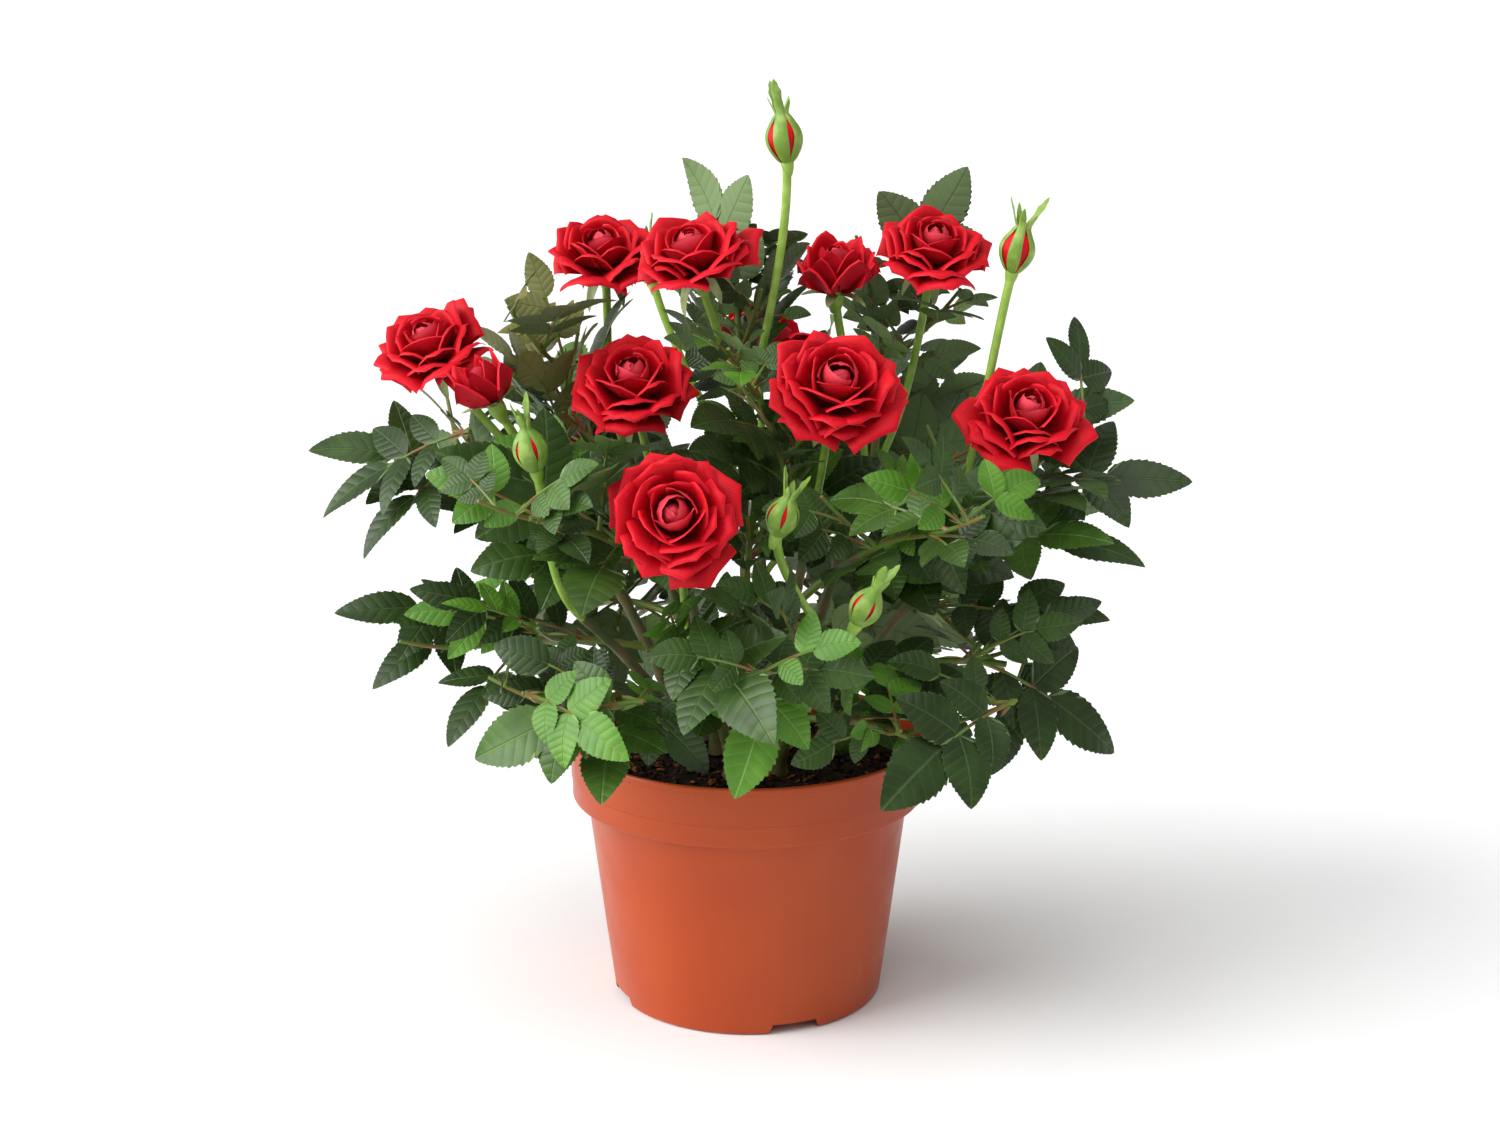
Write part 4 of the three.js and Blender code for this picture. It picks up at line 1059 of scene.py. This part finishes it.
def peat(name, dark, light, size_mm, roughness=0.95):
    """Peat: matt and fibrous, nearly black where it is moist."""
    finish, tree, shader = blank(name, dark, roughness, Specular_IOR_Level=0.2)
    place_at = node(tree, PLACE, output="Object")
    fibres = node(tree, NOISE, Vector=place_at, Scale=1000 / size_mm, Detail=5.0, Roughness=0.65)
    fibres = node(tree, RANGE, SMOOTH, Value=fibres, From_Min=0.42, From_Max=0.7)
    body = node(tree, MIX, COLOURS, output=2, _0=fibres, _6=linear(dark), _7=linear(light))
    tree.links.new(body, shader.inputs["Base Color"])
    lumps = node(tree, NOISE, Vector=place_at, Scale=1000 / (0.6 * size_mm), Detail=6.0, Roughness=0.7)
    bump = node(tree, BUMP, Height=lumps, Distance=0.8 * MM, Strength=0.9)
    tree.links.new(bump, shader.inputs["Normal"])
    return finish


FINISHES = dict(
    pot=moulded_pot(),
    peat=peat("moist_peat", "#140E0A", "#3A281B", 4),
    crumbs=[peat("peat_crumbs", "#1C130D", "#4A3221", 3), peat("bark_bits", "#5A3218", "#A9642F", 3, 0.8)],
    canes=[green_stem("rose_cane", "#4B5A2A", "#6A5A34", 0.5, 7)],
    stems=[green_stem("rose_stem", "#5E7A2E", "#78642F", 0.42)],
    leaf_stalks=[green_stem("leaf_stalk", "#5F7E33", "#80522F", 0.42, 6)],
    stalks=[green_stem("flower_stalk", "#84AA3E", "#9ABC50", 0.38),
            green_stem("sepal", "#AEBF86", "#90A860", 0.55),
            green_stem("bud_sepal", "#6F9434", "#93AE54", 0.45)],
    petals=[rose_petal("petal_heart", "#A60012", "#D40820"),
            rose_petal("petal_middle", "#B20014", "#DC061E"),
            rose_petal("petal_outer", "#B60014", "#DC0820"),
            rose_petal("petal_back", "#C20E24", "#E01C32", 0.6),
            # The heart's backs: paler like other petal backs, and paler still as a painted highlight.
            rose_petal("petal_heart_back_painted_highlight", "#C82034", "#E44858", 0.5)],
)

# Leaf tones, as (name, face, its lighter patches, veins, back).
LEAF_TONES = [
    ("deep", "#22360F", "#2D4517", "#55702F", "#62784C"),
    ("dark", "#2C4414", "#39551D", "#648039", "#6C8452"),
    ("mid", "#39581A", "#476A24", "#769345", "#7A9458"),
    ("fresh", "#4A7A1E", "#5C8C2A", "#8DAC4C", "#84A058"),
    ("bronze", "#5C641C", "#746A26", "#94904A", "#7C804A"),
]
FINISHES["leaves"] = [
    finish for name, face, light, vein, back in LEAF_TONES
    for finish in (rose_leaf(f"rose_leaf_{name}", face, light, vein),
                   rose_leaf(f"rose_leaf_{name}_back", back, back, light, 0.6))
]

# ---- the pot and its soil -----------------------------------------------------------------------

SIDES = 144  # round the pot and the soil


def turned(name, profile):
    """A round body: a closed ring drawn up through the profile's (radius, height) points."""
    radius, height = profile[0]
    bpy.ops.mesh.primitive_circle_add(vertices=SIDES, radius=radius * MM, location=(0, 0, height * MM))
    piece = bpy.context.object
    piece.name = piece.data.name = name
    bpy.ops.object.transform_apply(location=True)
    bpy.ops.object.mode_set(mode="EDIT")
    bpy.ops.mesh.select_all(action="SELECT")
    bpy.ops.mesh.edge_face_add()
    bpy.ops.mesh.select_mode(type="EDGE")
    bpy.ops.mesh.select_all(action="SELECT")
    for next_radius, next_height in profile[1:]:
        bpy.ops.mesh.extrude_edges_move(
            TRANSFORM_OT_translate={"value": (0, 0, (next_height - height) * MM)})
        part = next_radius / radius
        bpy.ops.transform.resize(value=(part, part, 1), center_override=(0, 0, 0))
        radius, height = next_radius, next_height
    bpy.ops.mesh.edge_face_add()
    bpy.ops.mesh.select_all(action="SELECT")
    bpy.ops.mesh.normals_make_consistent(inside=False)
    bpy.ops.object.mode_set(mode="OBJECT")
    return piece


def arc(centre, radius, first, last, steps):
    """Points on a round corner, from one angle to another, in degrees from the outward way."""
    angles = [lerp(first, last, i / steps) * DEGREE for i in range(steps + 1)]
    return [(centre[0] + radius * math.cos(a), centre[1] + radius * math.sin(a)) for a in angles]


def apply_to(piece, modifier):
    bpy.context.view_layer.objects.active = piece
    bpy.ops.object.modifier_apply(modifier=modifier.name)


def cut_notch(pot, turn):
    """A notch through the foot ring, wider below than above."""
    width, ring = POT["notch_width"], POT["ring_height"]
    bpy.ops.mesh.primitive_cube_add(size=1, location=((POT["foot_radius"] - 1) * MM, 0, 0))
    cutter = bpy.context.object
    bpy.ops.transform.resize(value=(12 * MM, width * MM, 2 * ring * MM))
    bpy.ops.object.transform_apply(location=True, scale=True)
    for corner in cutter.data.vertices:
        slope = 1.16 if corner.co.z < 0 else 0.84
        corner.co.x, corner.co.y = swung(corner.co.x, corner.co.y * slope, turn)
    cut = pot.modifiers.new("cut", "BOOLEAN")
    cut.operation, cut.object, cut.solver = "DIFFERENCE", cutter, "EXACT"
    apply_to(pot, cut)
    bpy.data.objects.remove(cutter)


def make_pot():
    """The thin-walled pot: its foot ring, wall, band with the ledge under it, rolled lip and inside."""
    top, wall, band, rim = POT["height"], POT["wall"], POT["band_radius"], POT["rim_radius"]
    neck, foot, ring = POT["wall_top_radius"], POT["foot_radius"], POT["ring_height"]
    step, floor_top, inner_foot = top - POT["step_drop"], ring + wall, foot - POT["ring_width"]
    foot_ring = [(inner_foot, ring), (inner_foot, 0.3), (inner_foot + 0.3, 0),
                 *arc((foot - 1.4, 1.4), 1.4, -90, -8, 5)]
    outer_wall = [(lerp(foot, neck, 0.33), 0.33 * step), (lerp(foot, neck, 0.66), 0.66 * step),
                  (neck - 0.1, step - 0.9), (neck + 0.25, step - 0.2), (neck + 0.9, step + 0.1)]
    outer_band = [*arc((band - 1.1, step + 1.25), 1.1, -90, 0, 5), (band + 0.05, step + 7.4),
                  (band + 0.4, step + 7.7)]
    lip = [(rim - 0.4, top - 2.6), (rim, top - 2.2), *arc((rim - 0.8, top - 0.8), 0.8, 0, 180, 8)]
    inside = [(band - wall, step + wall + 0.5), (band - wall - 0.5, step + wall),
              (neck - wall + 0.4, step + wall - 0.3), (neck - wall, step + wall - 0.8),
              (foot - wall + 0.6, floor_top + 2), (foot - wall - 1.2, floor_top)]
    pot = turned("pot_shell", foot_ring + outer_wall + outer_band + lip + inside)
    for i in range(POT["notches"]):
        cut_notch(pot, POT["first_notch"] + i / POT["notches"] * 2 * math.pi)
    bevel = pot.modifiers.new("edges", "BEVEL")
    bevel.width, bevel.segments = 0.25 * MM, 2
    bevel.limit_method, bevel.angle_limit = "ANGLE", 40 * DEGREE
    apply_to(pot, bevel)
    smooth(pot, 28)
    pot.data.materials.append(FINISHES["pot"])
    place(pot, "pot_plastic", ["pot"])


LUMPS = ((19, 0.7, 3.1), (5.5, 0.7, 7.7), (2.3, 0.45, 1.3))  # how far across, how high, and a seed
SOIL_RINGS = 44
CRUMBS = 1500
BARK_EVERY = 6  # one crumb in six is a bit of bark
CRUMB_CORNERS = np.array([(1, 0, 0), (-1, 0, 0), (0, 1, 0), (0, -1, 0), (0, 0, 1), (0, 0, -1),
                          (0.6, 0.6, 0.5), (-0.6, 0.5, 0.6), (0.5, -0.6, 0.6), (-0.6, -0.6, 0.4)], float)
CRUMB_FACES = [(0, 2, 6), (6, 2, 4), (0, 6, 4), (2, 1, 7), (2, 7, 4), (7, 1, 4), (1, 3, 9), (9, 3, 4),
               (1, 9, 4), (3, 0, 8), (3, 8, 4), (8, 0, 4), (2, 0, 5), (1, 2, 5), (3, 1, 5), (0, 3, 5)]


def soil_height(x, y):
    """The soil's surface, with lumps of three sizes."""
    height = SOIL["top"] - 0.9 + soil_rise(math.hypot(x, y))
    for across, high, seed in LUMPS:
        height += high * noise.noise(Vector((x / across, y / across, seed)))
    return height


def make_soil():
    """The peat as one body that fills the pot, in rings close enough for its lumps."""
    wall = POT["wall"] + 0.4
    ledge = POT["height"] - POT["step_drop"] + wall
    rim = POT["band_radius"] - wall
    floor = POT["ring_height"] + wall
    profile = [(POT["foot_radius"] - wall - 1.4, floor + 0.4), (POT["wall_top_radius"] - wall, ledge),
               (rim, ledge + 0.2), (rim, SOIL["top"] - 2.5)]
    profile += [(rim * (1 - i / SOIL_RINGS), SOIL["top"]) for i in range(1, SOIL_RINGS)]
    soil = turned("soil_heap", profile)
    for corner in soil.data.vertices:
        if corner.co.z > (SOIL["top"] - 3) * MM:
            corner.co.z = soil_height(corner.co.x / MM, corner.co.y / MM) * MM
    smooth(soil, 60)
    soil.data.materials.append(FINISHES["peat"])
    place(soil, "peat_soil", ["soil"])
    make_crumbs(rim - 1.5)


def make_crumbs(reach):
    """Loose crumbs of peat and bits of bark, strewn over the soil."""
    crumbs = Bundle("soil_crumbs", FINISHES["crumbs"], "peat_soil", ["soil"])
    random = seeded(4021)
    for i in range(CRUMBS):
        bark = i % BARK_EVERY == 0
        radius = reach * math.sqrt(random())
        turn = 2 * math.pi * random()
        x, y = radius * math.cos(turn), radius * math.sin(turn)
        size = (1.0 + 1.3 * random()) if bark else (0.5 + 1.1 * random())
        if random() < 0.04:
            size *= 1.6
        wide = 0.45 + 0.4 * random()
        thick = 0.3 + 0.2 * random() if bark else 0.6 + 0.3 * random()
        rough = 0.8 + 0.4 * np.array([random() for _ in CRUMB_CORNERS])
        corners = CRUMB_CORNERS * rough[:, None] * np.array([1.0, wide, thick]) * size
        spin, tilt = 2 * math.pi * random(), 0.9 * (random() - 0.5)
        cos, sin = math.cos(tilt), math.sin(tilt)
        tip = np.array([[cos, 0, sin], [0, 1, 0], [-sin, 0, cos]])
        corners = corners @ (spin_matrix(spin) @ tip).T + [x, y, soil_height(x, y) + 0.25 * size]
        crumbs.add(corners, CRUMB_FACES, corners[:, :2] / 100, 1 if bark else 0)
    crumbs.build(30)


# ---- the bush -----------------------------------------------------------------------------------


def make_canes(canes):
    """Canes with their flare, the swollen joints where leaves have grown, and a slightly uneven skin."""
    bundle = Bundle("cane_bark", FINISHES["canes"], "green_cane", [f"cane_{name}" for name in canes])
    for name, line in canes.items():
        random = seeded(seed_of(f"bark_{name}"))
        first, spacing = 0.12 * random(), 0.15 + 0.04 * random()

        def radius_at(share, turn):
            radius = lerp(CANE["foot"], CANE["tip"], share)
            radius *= 1 + (CANE["flare"] - 1) * max(0, 1 - share * 9) ** 1.5
            joint = bell(((share - first) % spacing) / spacing, 0.5, 0.07)
            skin_at = Vector((math.cos(turn) * 1.5, math.sin(turn) * 1.5, share * 30 + first * 90))
            return radius * (1 + 0.12 * joint + 0.05 * noise.noise(skin_at))

        add_tube(bundle, line, radius_at, 12, 48, 0)
    bundle.build()


TWIG_TIP = 0.6

# Masses whose leaflets are slimmer than the rest.
SLIM = {"left_low": 0.74, "left_high": 0.68, "right_low": 0.9, "right_high": 0.82, "top_left": 0.9}


def in_plain_sight(leaf):
    """Takes off leaflets that would hide a flower, and says whether the leaf is still worth growing."""
    leaf["blades"] = [None if blade is None or hides_flower(blade.samples()).any() else blade
                      for blade in leaf["blades"]]
    return leaf["blades"][-1] is not None


def make_foliage(masses):
    """Each band of the crown as leaves and the twigs that carry them, in tones dealt out leaf by leaf."""
    bands = {
        "low": [n for n in FOLIAGE if "low" in n or n == "front_middle"],
        "middle": [n for n in FOLIAGE if n in ("left_high", "right_high", "heart") or "front_high" in n],
        "back": [n for n in FOLIAGE if "back_high" in n],
        "top": [n for n in FOLIAGE if n.startswith("top") or n == "upper_front"],
    }
    all_masses = [f"foliage_{n}" for n in FOLIAGE]
    stems = Bundle("leafy_shoots", FINISHES["stems"], "rose_leaf", all_masses)
    leaf_stalks = Bundle("leaf_stalks", FINISHES["leaf_stalks"], "rose_leaf", all_masses)
    for band, names in bands.items():
        nodes = [f"foliage_{n}" for n in names]
        leaves = Bundle(f"leaves_{band}", FINISHES["leaves"], "rose_leaf", nodes)
        for name in names:
            mass = masses[name]
            random = seeded(seed_of(f"tones_{name}"))
            add_tube(stems, mass["stem"], lambda s, turn: lerp(STEM["foot"], STEM["tip"], s), 8, 12, 0)
            for twig in mass["twigs"]:
                add_tube(stems, twig, lambda s, turn: lerp(TWIG["foot"], TWIG_TIP, s), 7, 8, 0)
            slim = SLIM.get(name, 1)
            for leaf in mass["leaves"] + mass["small_leaves"]:
                tone = tone_of(name, leaf, random())
                if in_plain_sight(leaf):
                    add_leaf(leaves, leaf_stalks, leaf, slim, random, 2 * tone, 2 * tone + 1)
        leaves.build(55)
    stems.build()
    leaf_stalks.build()


def tone_of(name, leaf, draw):
    """Mostly deep leaves, some fresh ones small or low in front, and bronze shoots high on the left."""
    deep, dark, mid, fresh, bronze = range(len(LEAF_TONES))
    small = leaf["length"] < 0.75 * LEAF["length"]
    if name in ("top_left", "left_high") and leaf["line"].at(1)[2] > 205 and small:
        return bronze
    if small and draw < 0.16 or name in ("front_low_left", "front_middle") and draw < 0.3:
        return fresh
    return deep if draw < 0.54 else dark if draw < 0.86 else mid


def make_flowers(stalks):
    """The petals of the blooms, those of the buds, and all that is green: stalks, hips and sepals."""
    names = list(FLOWERS)
    blooms = [n for n in names if not n.startswith("bud")]
    buds = [n for n in names if n.startswith("bud")]
    petals = Bundle("petals", FINISHES["petals"], "red_petal", blooms)
    bud_petals = Bundle("bud_petals", FINISHES["petals"], "green_bud", buds)
    greens = Bundle("flower_stalks", FINISHES["stalks"], "green_bud", names)

    def stalk_at(share, turn):
        return lerp(STALK["foot"], STALK["tip"], share)

    for name in names:
        _, _, hip, face, width = FLOWERS[name]
        random = seeded(seed_of(f"petals_{name}"))
        add_tube(greens, stalks[name], stalk_at, 10, 16, 0, 0, 0.985)
        if name in blooms:
            add_bloom(petals, greens, hip, face, width, random)
        else:
            add_bud(bud_petals, greens, hip, face, width, PARTED.get(name, CLOSED), random)
    petals.build(60)
    bud_petals.build(60)
    greens.build(60)


make_pot()
make_soil()
canes, stalks, masses = grow_bush()
make_canes(canes)
make_flowers(stalks)
make_foliage(masses)

# ---- the room, lights and camera ----------------------------------------------------------------

FLOOR_DROP = 0.0002  # metres under the pot's foot
DAYLIGHT = 0.36
LENS, SENSOR, TILT_DOWN = 58.817, 36, 13.629

paper, _, paper_shader = blank("white_paper", "#FFFFFF", 0.9)
paper_shader.inputs["Base Color"].default_value = (0.93, 0.93, 0.93, 1)
bpy.ops.mesh.primitive_plane_add(size=400, location=(0, 0, -FLOOR_DROP))
floor = bpy.context.object
floor.name = "floor"
floor.data.materials.append(paper)

world = bpy.data.worlds.new("daylight")
bpy.context.scene.world = world
world.use_nodes = True
world.node_tree.nodes["Background"].inputs["Color"].default_value = (1, 1, 1, 1)
world.node_tree.nodes["Background"].inputs["Strength"].default_value = DAYLIGHT


def stand(name, data, at, turn):
    holder = bpy.data.objects.new(name, data)
    bpy.context.scene.collection.objects.link(holder)
    holder.location, holder.rotation_euler = at, turn
    return holder


def add_sun(name, at, energy, angle):
    """A soft light from one way, as broad as its angle."""
    light = bpy.data.lights.new(name, "SUN")
    light.energy, light.angle = energy, angle * DEGREE
    stand(name, light, at, (-Vector(at)).to_track_quat("-Z", "Y").to_euler())


# White card overhead, a broad soft key from the left, and a low window that puts a sheen on the pot.
add_sun("overhead", (-0.3, -0.8, 2.0), 1.5, 70)
add_sun("key", (-2.0, -0.85, 1.45), 2.2, 40)
add_sun("window", (-2.0, 0.15, 0.2), 2.2, 60)

camera = bpy.data.cameras.new("camera")
camera.sensor_width, camera.lens = SENSOR, LENS
bpy.context.scene.camera = stand("camera", camera, VIEWER * MM, ((90 - TILT_DOWN) * DEGREE, 0, 0))

bpy.context.scene.view_settings.view_transform = "Standard"
bpy.context.scene.view_settings.look = "None"
